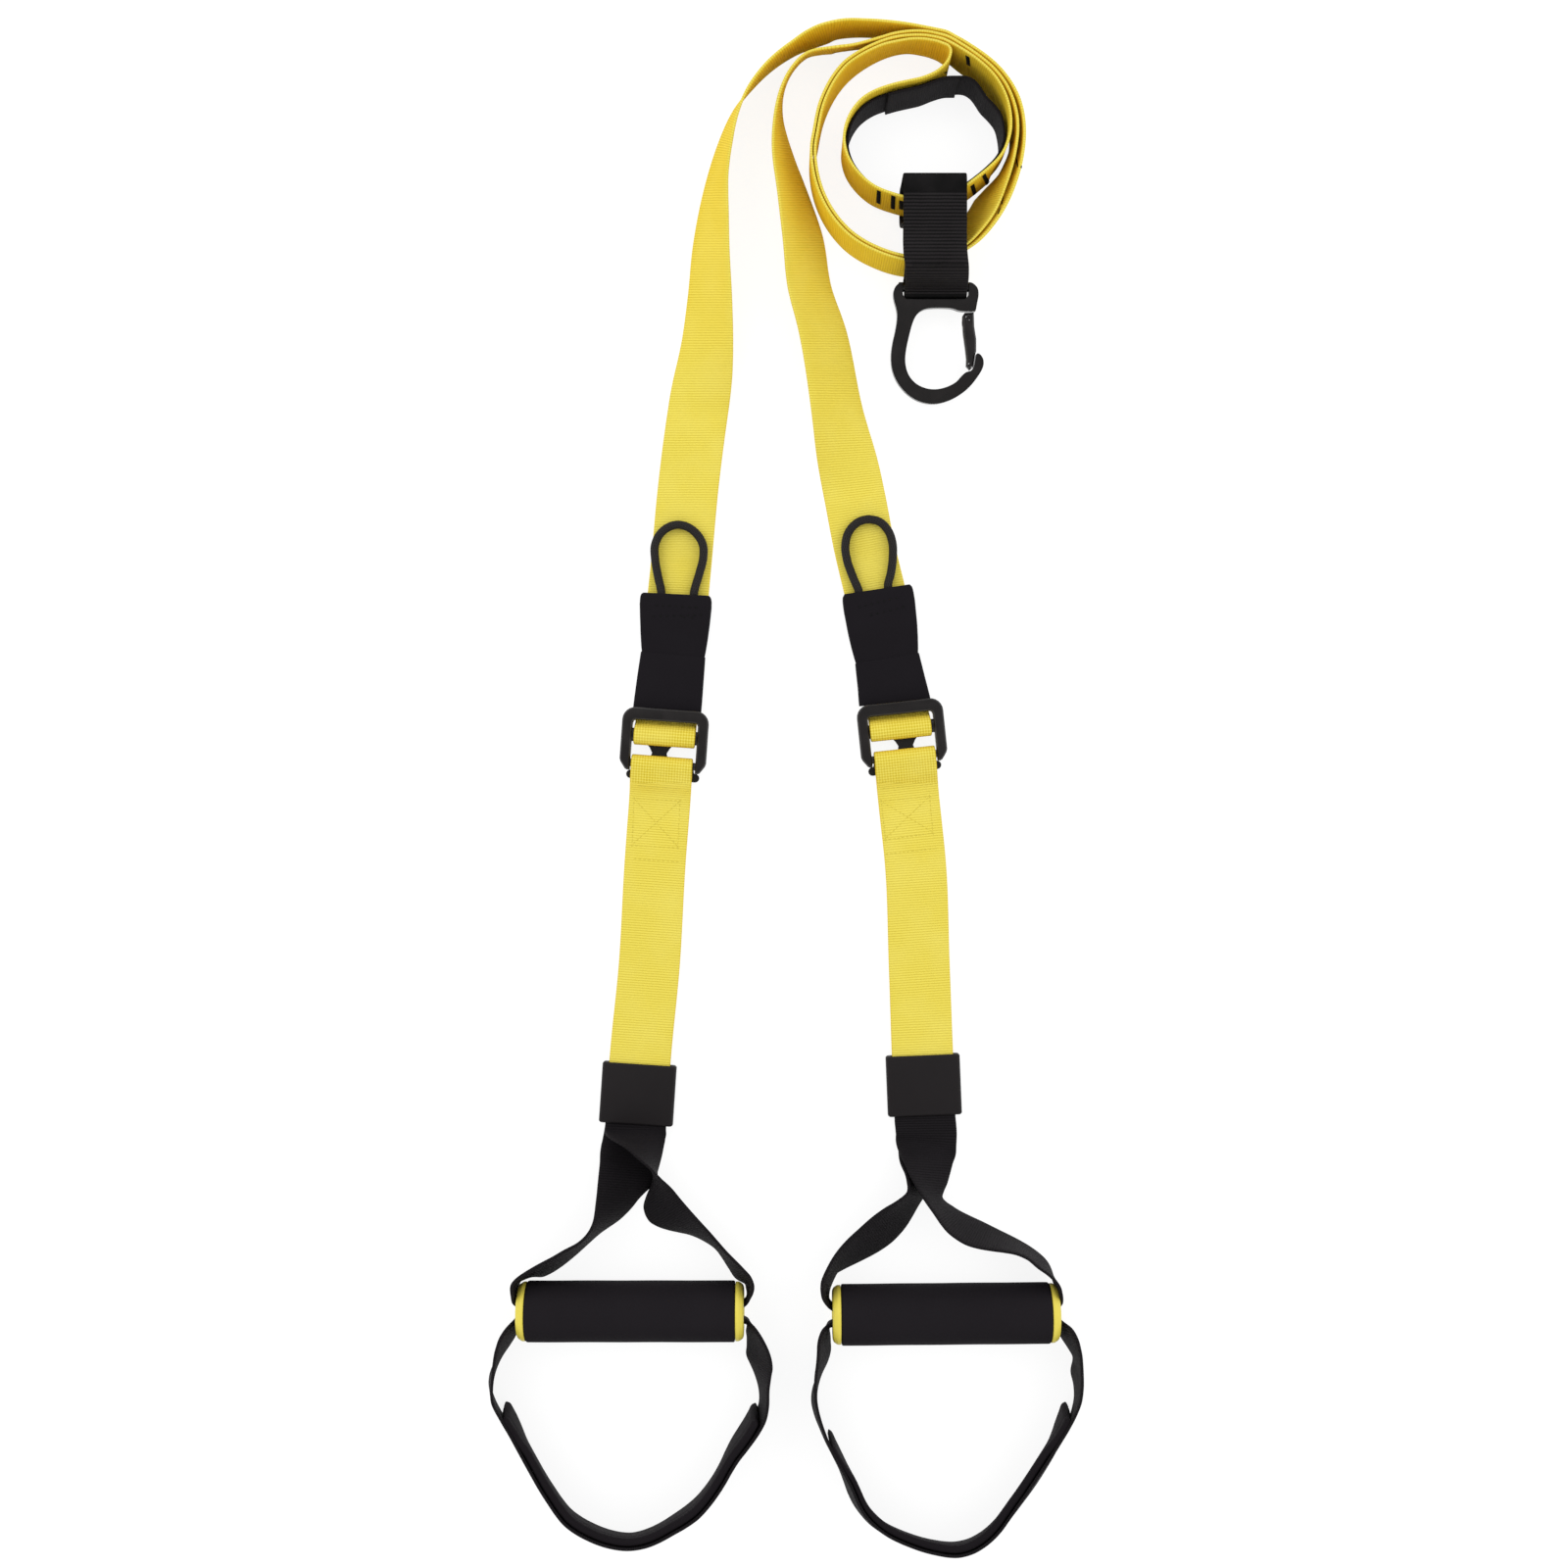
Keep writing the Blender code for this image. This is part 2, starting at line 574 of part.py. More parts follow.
SIDES = {
    "left": {
        "across": 1,
        "buckle_px": (678.5, 748), "buckle_heading": 4.0, "lever_shift": -0.0030,
        "sleeve_px": [(680.4, 722.2), (683.4, 694), (686.5, 666), (688.4, 636), (689.8, 606.5)],
        "sleeve_flare": 1.0, "sleeve_strap_start": 0.0, "wrap_shift": 0.0, "sleeve_strap_shift": 0.0010,
        "handle_strap_shift": -0.0005,
        "label_px": (650.4, 1117), "label_heading": 3.8,
        "strap_px": [(668.5, 880), (662.5, 985)],
        "grip_px": (644, 1338), "grip_heading": 0.0,
        "cord_px": [(674.8, 605), (671.6, 589), (668.4, 570), (668.2, 557), (673.4, 545.2),
                    (682, 538), (692, 535.4), (702, 538), (711, 545), (717.2, 556), (717.6, 569),
                    (713.4, 586), (708, 606)],
        "leg_px": [((727, 566), (665, 566)), ((733, 500), (671, 500)), ((742.5, 420), (682, 420)),
                   ((748, 347), (696, 347)), ((746.5, 300), (702.5, 300)), ((744, 255), (707, 255)),
                   ((743, 215), (714, 215)), ((742.5, 178.5), (723, 179)), ((746.5, 145), (735.5, 142)),
                   ((753, 114), (750, 112)), ((764, 88), (768, 90)), ((782, 64), (787, 72)),
                   ((809, 41.5), (814, 55)), ((838, 24.5), (844, 44))],
        "front_px": [((617.5, 1152), (679.5, 1153)), ((621.5, 1160.5), (679, 1162)), ((637, 1170),
                     (677, 1171)),
                     ((650, 1181), (674, 1183)), ((663, 1192), (670, 1196)), ((673, 1202), (664, 1212)),
                     ((686, 1214), (657, 1231)), ((696, 1226), (663, 1246)), ((708, 1240), (680, 1254)),
                     ((724, 1258), (704, 1259)), ((742, 1279), (731, 1274)), ((757, 1294), (744, 1293))],
        "back_px": [((615, 1162), (677, 1162)), ((612, 1185), (669, 1188)), ((610, 1208), (656, 1212)),
                    ((608, 1230), (645, 1231)), ((606, 1245), (633, 1243)), ((600, 1259), (614, 1256)),
                    ((590, 1269), (599, 1269)), ((575, 1277), (587, 1280)), ((562, 1284.5), (572, 1292)),
                    ((545, 1293.5), (555, 1301.5))],
        "loop_end_right": [(4.8, 24.5, 37.5, -4.0, 15.5, 1.5, 1.8), (6.0, 20, 37.3, 0.8, 13, 2.5, 1.8),
                           (5.2, 15.5, 36, 1.6, 10.5, 4.5, 1.9), (3.4, 11, 31.5, 2.2, 8.8, 7.5, 1.9),
                           (1.8, 7.4, 27, 2.0, 6.6, 10.5, 2.2), (-1.2, 4.6, 24, -1.2, 4.5, 13, 3.2)],
        "loop_end_left": [(-1.0, 24, 37.5, -4.5, 17, 1.5, 1.8), (1.6, 20, 37, 1.5, 14.2, 2.5, 1.8),
                          (1.6, 14.5, 35.5, 1.7, 10.5, 4.5, 1.9), (1.8, 10.5, 31, 2.2, 8.8, 7.5, 1.9),
                          (1.6, 7.2, 27, 2.0, 6.6, 10.5, 2.2), (-1.2, 4.6, 24, -1.2, 4.5, 13, 3.2)],
        "cradle_end_left": [(-2.2, -4.7, 23.2, -2.2, -4.9, 13.4, 3.8),
                            (1.8, -5.2, 25.5, 1.7, -6.6, 12.5, 2.8),
                            (4.9, -7.2, 30, 2.4, -10.2, 10, 2.4), (8.2, -11.4, 34.5, 2.2, -14, 6.5, 2.3),
                            (10.8, -18.2, 36.8, 4.0, -18.8, 2.6, 1.8),
                            (12.2, -26.5, 37.8, 8.8, -26.5, 0.3, 1.8)],
        "cradle_end_right": [(-2.2, -4.7, 23.2, -2.2, -4.9, 13.4, 3.8),
                             (1.9, -5.0, 25.5, 1.7, -6.6, 12.5, 2.8),
                             (5.4, -6.2, 30, 2.3, -10.2, 10, 2.4), (9.0, -9.6, 33.5, 1.6, -14.2, 7, 2.3),
                             (13.2, -16, 35.2, 1.8, -19.5, 3.6, 1.9), (16.3, -23.5, 35.2, 1.7, -26, 1.4, 1.8),
                             (17.3, -31, 34.6, 1.6, -32.5, 0.4, 1.8)],
        "cradle_px": [(502.8, 1402, 0.5), (501.8, 1416, 5), (502.6, 1432, 7.3), (509.5, 1446, 9),
                      (520, 1464, 9), (535.1, 1491.7, 8.7), (560.5, 1535, 9.2), (576.2, 1555.8, 9.6),
                      (600.8, 1571.5, 10), (623.4, 1579.3, 10.2), (640, 1581.3, 10), (660, 1578.3, 8.5),
                      (686.6, 1565.6, 6.8), (711.7, 1549.6, 4.6), (731.6, 1526, 3.4), (752.6, 1491.8, 1),
                      (770, 1469, -1.2), (780.8, 1450, -3.5), (783.6, 1436, -5.5), (784.3, 1419, -8.5),
                      (786.5, 1404, -13)],
        "pad_ends_px": ((510, 1443), (780, 1447)), "pad_start_share": 1.0,
        "cradle_middle_px": (640, 1440),
    },
    "right": {
        "across": -1,
        "buckle_px": (919.45, 740.1), "buckle_heading": -6.0, "lever_shift": 0.0020,
        "sleeve_px": [(913.2, 714), (910.2, 697), (905.4, 670), (901.2, 643), (895, 601.5)],
        "sleeve_flare": 1.05, "sleeve_strap_start": 0.0008, "wrap_shift": -0.0006,
        "sleeve_strap_shift": -0.0012,
        "handle_strap_shift": 0.0003,
        "label_px": (943, 1108), "label_heading": -2.3,
        "strap_px": [(934, 880), (938, 985)],
        "grip_px": (964.5, 1340.6), "grip_heading": -0.5,
        "cord_px": [(876.6, 604.6), (870, 588), (864.4, 572), (862.6, 557), (866, 543),
                    (874.4, 533.6), (886, 530), (898, 532.8), (906.2, 541.4), (910.6, 554),
                    (911, 569), (909, 585), (906, 598.6)],
        "leg_px": [((852, 566), (913, 555)), ((839.5, 501), (901, 494)), ((828, 420), (881, 420)),
                   ((814, 333), (862, 333)), ((804, 293), (848, 293)), ((799, 243), (839.5, 243)),
                   ((793.5, 194), (822.5, 194)), ((788.5, 153), (807.5, 155)), ((789.5, 126), (798.5, 124)),
                   ((794, 100), (798, 100)), ((805, 73), (807, 75)), ((822, 54.5), (824, 58)),
                   ((846, 48.5), (849, 54))],
        "front_px": [((912, 1145), (976, 1144)), ((914, 1157), (976.5, 1157)), ((916, 1167), (975, 1169)),
                     ((922, 1185), (972, 1188)), ((931, 1204), (966, 1208)), ((942, 1222), (961, 1222)),
                     ((953, 1238), (971, 1231)), ((967, 1257), (985, 1239)), ((986, 1270), (1000, 1246)),
                     ((1012, 1276), (1020, 1256)), ((1036, 1279.5), (1043, 1268)),
                     ((1051, 1286), (1061, 1279.5)), ((1066, 1299), (1076, 1294))],
        "back_px": [((914.5, 1158), (976, 1158)), ((919, 1180), (971, 1183), 0.90), ((925, 1202),
                    (957, 1206), 0.94),
                    ((926, 1217), (943, 1220)), ((917, 1225), (936, 1231)), ((905, 1232), (925, 1250)),
                    ((892, 1241), (911, 1266)), ((875, 1256), (892, 1279)), ((859, 1272), (870, 1290)),
                    ((847.5, 1289), (855, 1297.5))],
        "loop_end_right": [(-1.0, 25, 37.5, -4.5, 17.4, 1.5, 1.8), (1.6, 21, 37.2, 1.5, 14.4, 2.5, 1.8),
                           (1.5, 15.5, 35.8, 1.7, 10.5, 4.5, 1.9), (1.8, 11, 31.5, 2.2, 8.8, 7.5, 1.9),
                           (1.6, 7.4, 27, 2.0, 6.6, 10.5, 2.2), (-1.2, 4.6, 24, -1.2, 4.5, 13, 3.2)],
        "loop_end_left": [(6.2, 26, 37.5, -2.6, 20.5, 1, 1.8), (6.8, 22.2, 37.3, -0.6, 16.8, 2, 1.8),
                          (6.6, 18, 36.5, 1.2, 13, 3.6, 1.8), (5.5, 13, 33, 2.2, 9.8, 6.5, 1.9),
                          (2.6, 8.0, 28, 2.0, 6.9, 10, 2.2), (-1.2, 4.6, 24, -1.2, 4.5, 13, 3.2)],
        "cradle_end_left": [(-2.2, -4.7, 23.2, -2.2, -4.9, 13.4, 3.8),
                            (1.9, -4.9, 25.5, 1.8, -6.6, 12.5, 2.8),
                            (5.0, -5.4, 30, 2.4, -10, 10, 2.4), (8.0, -9.4, 34.6, 1.9, -14, 7, 2.1),
                            (9.3, -18, 37, 1.4, -20, 3.6, 1.8), (10.1, -26.5, 37.2, 1.4, -27.5, 1.2, 1.8)],
        "cradle_end_right": [(-2.2, -4.7, 23.2, -2.2, -4.9, 13.4, 3.8),
                             (1.9, -5.0, 25.5, 1.7, -6.6, 12.5, 2.8),
                             (5.8, -6.4, 30.5, 2.3, -10.2, 10, 2.4), (8.9, -11, 34.8, 1.8, -14.4, 6.5, 2.3),
                             (10.9, -18.5, 37, 4.4, -19.4, 3, 1.8), (11.6, -27, 37.8, 9.6, -27.5, 0.5, 1.8)],
        "cradle_px": [(832.4, 1403, -8), (831.8, 1418, -4.5), (833, 1433, 0.5), (836.5, 1448, 4),
                      (846.5, 1475.5, 5), (867.5, 1514.7, 6.3), (883.2, 1546.5, 8.6), (898.8, 1562, 10.4),
                      (930.5, 1578.3, 11.4), (957.8, 1586.2, 11.6), (977.7, 1588.2, 11.6),
                      (993.5, 1584, 12), (1011.6, 1571.8, 12.4), (1036.6, 1539.6, 12.6),
                      (1061.6, 1503, 11.8), (1082.5, 1471, 9.6), (1097.6, 1444.5, 5.4),
                      (1102.6, 1432, 2), (1104.7, 1418, -1), (1104.6, 1402, 0.2)],
        "pad_ends_px": ((841, 1462), (1095.5, 1449)), "pad_start_share": 0.62,
        "cradle_middle_px": (968, 1440),
    },
}

# The coil, by the top edge of its strands: pixel and how far the foot leans out, in millimetres.
# The pair's outer strand runs from the left leg round to the ring; its inner strand lies one pitch in.
COIL_FIRST_PX = [
    (858, 20, 3.4), (880, 19.6, 4.4), (902, 20.8, 4.4), (922, 23, 4.2), (942, 26.5, 3.4),
    (966.5, 33, 2), (983.3, 41.1, 1), (1000, 51.4, 0), (1016.5, 64.6, 0), (1030, 80.5, 0),
    (1039.5, 98, 0), (1044.5, 117, 0), (1045.8, 137, -0.8), (1043.8, 158, -2.4), (1038.3, 181.7, -4),
    (1028.3, 206.7, -5.2), (1013.3, 230, -5.5), (1000, 244.4, -5.5), (985, 254.8, -5),
    (966, 263, -3), (945, 266.5, -1), (922, 264, 0), (896, 256, 0), (868, 240, 0), (848, 218, 0),
    (835.5, 194, 0), (829, 168, 0), (828, 148, 0), (831, 130, 0)]
COIL_SECOND_PX = [
    (835.8, 107, 0), (842, 91, 0.2), (849.8, 77, 0.5), (862, 62.3, 1.2), (879, 50.8, 2.8),
    (893.3, 43.8, 3.8), (911, 37.8, 4.8), (928.5, 35.3, 5.4), (945, 35.4, 4.8), (963, 38.6, 3)]
RING_PX = [
    (982, 48.6, 1.2), (1000, 61.6, 0), (1016, 77.4, 0), (1026, 95, 0), (1030.8, 112, 0),
    (1031.8, 127, 0), (1029.2, 142, 0), (1021, 158.6, 0), (1011.7, 168.3, 0), (1001, 177.4, 0),
    (987, 187.8, 0), (970, 197.5, 0), (950, 202.5, 0), (930, 201.5, 0), (910, 196.5, 0),
    (892, 189, 0), (877, 176.5, 0), (866, 160.5, 0), (861.5, 143, 0), (866.5, 118, 0),
    (881, 99, 0), (906, 87, 0), (926, 82, 0)]
FOLD_PX = [
    (942, 78.3, 0), (951, 74.8, 0), (959.3, 69.8, 0), (965.8, 63.3, 0), (969.6, 56, 0.5),
    (970.2, 49.8, 1.5), (966.6, 44.6, 3), (959, 42, 4.6)]
INNER_FIRST_PX = [
    (866, 46.2, 12), (884, 42.2, 10.5), (902, 37, 8.4), (920, 33, 6.9), (934, 31.2, 5.6),
    (948, 32, 4), (965.5, 36.8, 2), (981.6, 44.9, 1), (997.6, 55, 0), (1013.3, 67.8, 0),
    (1026, 83.4, 0), (1034, 100.5, 0), (1038.3, 118, 0), (1038.8, 134, -0.5), (1037, 150, -1.8),
    (1033.3, 168, -3.3), (1026.7, 189, -4.4), (1015.8, 215, -5.2), (1001, 235.2, -5.4)]
LINING_START_PX = (1029, 143)
COIL_FOOT_PX = 300
LINING_PX = [(940, 84.6), (953, 80.6), (966, 78.4), (978, 78), (987.5, 78.6), (994, 82), (1000, 89),
             (1005.5, 97.5), (1014.5, 107), (1020.5, 115), (1024, 127)]
HEM_PX = ((908, 96), (974, 78))

SLING_LIFT_REACH = 0.030
SLING_PAIR_PX = (300, 232)
SLING_RING_PX = (228, 160)
STRAND_PITCH = STRAP_THICKNESS + PAIR_GAP


def sling_lift(x):
    """Strands that lie in the sling's loop are carried by its lower layer."""
    middle = at((SLING_PX, PHOTO_CENTRE_PX), 0)[0]
    beyond = abs(x - middle) - SLING_WIDTH / 2 - GAP * 8
    blend = min(1.0, max(0.0, 1.0 - beyond / SLING_LIFT_REACH))
    return (WEB_THICKNESS + 3 * GAP) * blend * blend * (3 - 2 * blend)


def coil_station(row, inset=0.0, lifted=False):
    x, y = at(row[:2], STRAP_WIDTH)
    below = lifted and y < at(RING_MIDDLE_PX, STRAP_WIDTH)[1]
    base = sling_lift(x) if below else 0.0
    return stood(row[:2], RING_MIDDLE_PX, row[2] * MM, STRAP_THICKNESS, base, inset)


# Main strap

def buckle_place(side):
    return Place(side["buckle_px"], side["buckle_heading"], FRAME_HEIGHT)


def sleeve_at(side, share):
    """A spot up the middle of the sleeve and the direction across it, from the buckle upwards."""
    spots = np.array([at(pixel, FRAME_HEIGHT) for pixel in side["sleeve_px"]])
    along = np.gradient(spots, axis=0)
    across = np.column_stack([along[:, 1], -along[:, 0]])
    across /= np.linalg.norm(across, axis=1)[:, None]
    across[0] = buckle_place(side).u_axis
    places = np.linspace(0, 1, len(spots))
    spot = np.array([np.interp(share, places, column) for column in spots.T])
    direction = np.array([np.interp(share, places, column) for column in across.T])
    return spot, direction / np.linalg.norm(direction)


TAIL_HEIGHT = SLEEVE_WALL + GAP + STRAP_THICKNESS / 2
MAIN_HEIGHT = TAIL_HEIGHT + STRAP_THICKNESS + LAYER_GAP
WRAP_HALF_HEIGHT = MIDDLE_BAR_HALF_HEIGHT + GAP + STRAP_THICKNESS / 2
WRAP_HALF_LENGTH = MIDDLE_BAR_HALF_LENGTH + GAP + STRAP_THICKNESS / 2
WRAP_STEPS = 8
TAIL_SHARE = 0.62


def wrap_stations(side):
    """From the tail's end in the sleeve, under and round the middle bar, and back to the sleeve."""
    place = buckle_place(side)
    across = place.direction(side["across"], 0)

    def flat(v, z):
        return station(place.point(side["wrap_shift"], v, z), across, STRAP_WIDTH, STRAP_THICKNESS)

    def inside(share, z):
        spot, direction = sleeve_at(side, share)
        shift = side["sleeve_strap_start"] * (1 - share) ** 2 + side["sleeve_strap_shift"] * share ** 2
        spot = spot + direction * shift
        return station((*spot, z), (*(direction * side["across"]), 0), STRAP_WIDTH, STRAP_THICKNESS)

    rows = [inside(TAIL_SHARE, TAIL_HEIGHT), inside(TAIL_SHARE / 2, TAIL_HEIGHT),
            inside(0.16, TAIL_HEIGHT)]
    rows.append(flat(FRAME_TOP_REACH * 0.95, TAIL_HEIGHT))
    rows.append(flat(FRAME_TOP_REACH * 0.60, TAIL_HEIGHT))
    rows.append(flat(FRAME_TOP_REACH * 0.25, (TAIL_HEIGHT * 1.3 + FRAME_HEIGHT - WRAP_HALF_HEIGHT) / 2))
    for step in range(WRAP_STEPS + 1):
        turn = math.radians(-90 - 180 * step / WRAP_STEPS)
        rows.append(flat(WRAP_HALF_LENGTH * math.cos(turn) - MIDDLE_BAR_DROP,
                         FRAME_HEIGHT + WRAP_HALF_HEIGHT * math.sin(turn)))
    turn = math.radians(38)
    rows.append(flat(WRAP_HALF_LENGTH * math.cos(turn) - MIDDLE_BAR_DROP,
                     FRAME_HEIGHT + WRAP_HALF_HEIGHT * math.sin(turn)))
    bar_foot = FRAME_TOP_REACH - FRAME_TOP_BAR
    rows.append(flat(bar_foot * 0.58, FRAME_HEIGHT * 0.93))
    rows.append(flat(bar_foot * 0.86, FRAME_HEIGHT * 0.63))
    rows.append(flat(bar_foot * 1.22, MAIN_HEIGHT * 1.13))
    rows.append(flat(FRAME_TOP_REACH * 0.93, MAIN_HEIGHT))
    rows += [inside(share, MAIN_HEIGHT) for share in (0.2, 0.5, 0.8, 0.9, 0.98)]
    return rows


def midway(one, two, share=0.5):
    row = one * (1 - share) + two * share
    row[3:6] /= np.linalg.norm(row[3:6])
    return row


def main_strap_parts():
    left = SIDES["left"]
    right = SIDES["right"]
    left_wrap = wrap_stations(left)
    left_leg = [seen(high, low) for high, low in left["leg_px"]]
    coil = [coil_station(row) for row in COIL_FIRST_PX + COIL_SECOND_PX]
    ring = [coil_station(row, lifted=True) for row in RING_PX]
    back = [coil_station(row) for row in FOLD_PX]
    back += [coil_station(row, STRAND_PITCH) for row in reversed(COIL_SECOND_PX[:-1])]
    back += [coil_station(row, STRAND_PITCH) for row in reversed(COIL_FIRST_PX[18:])]
    back += [coil_station(row) for row in reversed(INNER_FIRST_PX)]
    right_leg = [seen(high, low) for high, low in reversed(right["leg_px"])]
    right_wrap = list(reversed(wrap_stations(right)))
    left_wrap.append(midway(left_wrap[-1], left_leg[0]))
    right_wrap.insert(0, midway(right_wrap[0], right_leg[-1]))
    return [left_wrap, left_leg, coil, ring, back, right_leg, right_wrap]


ROUTES = {}


def main_strap_route():
    """The whole route, and the samples between which the anchor ring lies."""
    if "main strap" in ROUTES:
        return ROUTES["main strap"]
    parts = main_strap_parts()
    counts = np.cumsum([0] + [len(rows) for rows in parts])
    route, marks = smooth_route([row for rows in parts for row in rows], marks=True)
    movable = np.zeros(len(route), bool)
    movable[marks[counts[2] - 2]:marks[counts[5] + 2]] = True
    route = grounded(eased(route, movable, STRAP_THICKNESS + PAIR_GAP))
    ROUTES["main strap"] = (route, marks[counts[3]], marks[counts[4]])
    return ROUTES["main strap"]


def least_gap(route, spacing=0.002, apart=0.018):
    """Least distance between stretches of a strap that lie apart along it, less its thickness."""
    centre = route[:, :3]
    length = np.concatenate([[0], np.cumsum(np.linalg.norm(np.diff(centre, axis=0), axis=1))])
    place = np.arange(0, length[-1], spacing)
    fine = np.column_stack([np.interp(place, length, column) for column in route.T])
    across = fine[:, 3:6] * fine[:, 6:7] / 2
    points = np.concatenate([fine[:, :3] + across * share for share in (-1, -0.5, 0, 0.5, 1)])
    where = np.tile(place, 5)
    least = 1.0
    for start in range(0, len(points), 400):
        block = points[start:start + 400]
        distance = np.linalg.norm(block[:, None] - points[None], axis=2)
        near = np.abs(where[start:start + 400, None] - where[None]) < apart
        distance[near] = 1.0
        least = min(least, distance.min())
    return least - STRAP_THICKNESS, length[-1]


def main_strap():
    route = main_strap_route()[0]
    gap, length = least_gap(route)
    print(f"main strap: {length:.3f} m long, least gap to itself {gap * 1000:.2f} mm")
    return sweep("main_strap", route, strap_yellow(), smooth_deg=60)


# Anchor ring lining, hem and sling

def ring_route():
    route, first, last = main_strap_route()
    return route[first:last]


def lining_row(spot, lift=0.0):
    """Upright lining over a spot on the ground."""
    return station((*spot, lift + LINING_WIDTH / 2), (0, 0, 1), LINING_WIDTH, LINING_THICKNESS)


def lining_rows():
    """Round the ring against the strap, then straight across the ring's open corner."""
    route = ring_route()
    normal = frames(route)[2]
    rows = []
    middle = at(RING_MIDDLE_PX, STRAP_WIDTH)
    inset = STRAP_THICKNESS / 2 + GAP + LINING_THICKNESS / 2
    first = np.argmin(np.linalg.norm(route[:, :2] - at(LINING_START_PX, STRAP_WIDTH), axis=1))
    for row, side in zip(route[first:-1:2], normal[first:-1:2]):
        inward = np.sign(side[:2] @ (middle - row[:2]))
        spot = row[:2] + side[:2] * inward * inset
        below = row[1] < middle[1]
        lift = sling_lift(row[0]) if below else 0.0
        rows.append(lining_row(spot, lift))
    rows += [lining_row(at(pixel, LINING_WIDTH)) for pixel in LINING_PX]
    return rows


def lining_route():
    """The lining's route, kept off the strap at the strap's foot and at the lining's own height."""
    if "lining" in ROUTES:
        return ROUTES["lining"]
    route = smooth_route(lining_rows(), closed=True)
    strap = main_strap_route()[0]
    strap = strap[strap[:, 1] > at((0, COIL_FOOT_PX))[1]]
    top, foot = edges_of(strap)
    share = LINING_WIDTH / STRAP_WIDTH
    need = (STRAP_THICKNESS + LINING_THICKNESS) / 2 + LAYER_GAP
    movable = np.ones(len(route), bool)
    for _ in range(EASE_ROUNDS):
        for chain in (foot[:, :2], foot[:, :2] * (1 - share) + top[:, :2] * share):
            apart = np.ones((len(route), len(chain) - 1), bool)
            apart &= np.linalg.norm(np.diff(chain, axis=0), axis=1)[None] < ROUTE_STEP * 1.5
            route[:, :2] += pushed(route[:, :2], chain, movable, apart, need)[0]
    ROUTES["lining"] = grounded(route, closed=True)
    return ROUTES["lining"]


def anchor_lining():
    return sweep("anchor_lining", lining_route(), web_black(), closed=True, smooth_deg=60)


def lining_hem():
    """The lining's free end doubled over on its inner side, along the top of the ring."""
    route = lining_route()
    ends = []
    for pixel in HEM_PX:
        spot = at(pixel, LINING_WIDTH)
        ends.append(int(np.argmin(np.linalg.norm(route[:, :2] - spot, axis=1))))
    normal = frames(route, closed=True)[2]
    middle = at(RING_MIDDLE_PX, STRAP_WIDTH)
    inward = np.sign(np.sum(normal[:, :2] * (middle - route[:, :2]), axis=1))
    hem = route.copy()
    hem[:, :3] += normal * (inward * (LINING_THICKNESS + GAP))[:, None]
    hem[:, 2] = HEM_WIDTH / 2
    hem[:, 6] = HEM_WIDTH
    return sweep("lining_hem", hem[ends[0]:ends[1] + 1], web_black(), smooth_deg=60)


def reach_in_sling(route, low_px, high_px):
    """Least and most forward that a strand comes between the sling's edges, in y."""
    x_low = at((SLING_PX, 0))[0] - SLING_WIDTH / 2 - LAYER_GAP
    x_high = at((SLING_PX, 0))[0] + SLING_WIDTH / 2 + LAYER_GAP
    fine = np.vstack([route[:-1] * (1 - share) + route[1:] * share for share in (0, 0.25, 0.5, 0.75)])
    reach = []
    for edge in edges_of(fine):
        inside = (edge[:, 0] > x_low) & (edge[:, 0] < x_high)
        inside &= (edge[:, 1] > at((0, low_px))[1]) & (edge[:, 1] < at((0, high_px))[1])
        reach.append(edge[inside, 1])
    reach = np.concatenate(reach)
    return reach.min() - route[0, 7] / 2, reach.max() + route[0, 7] / 2


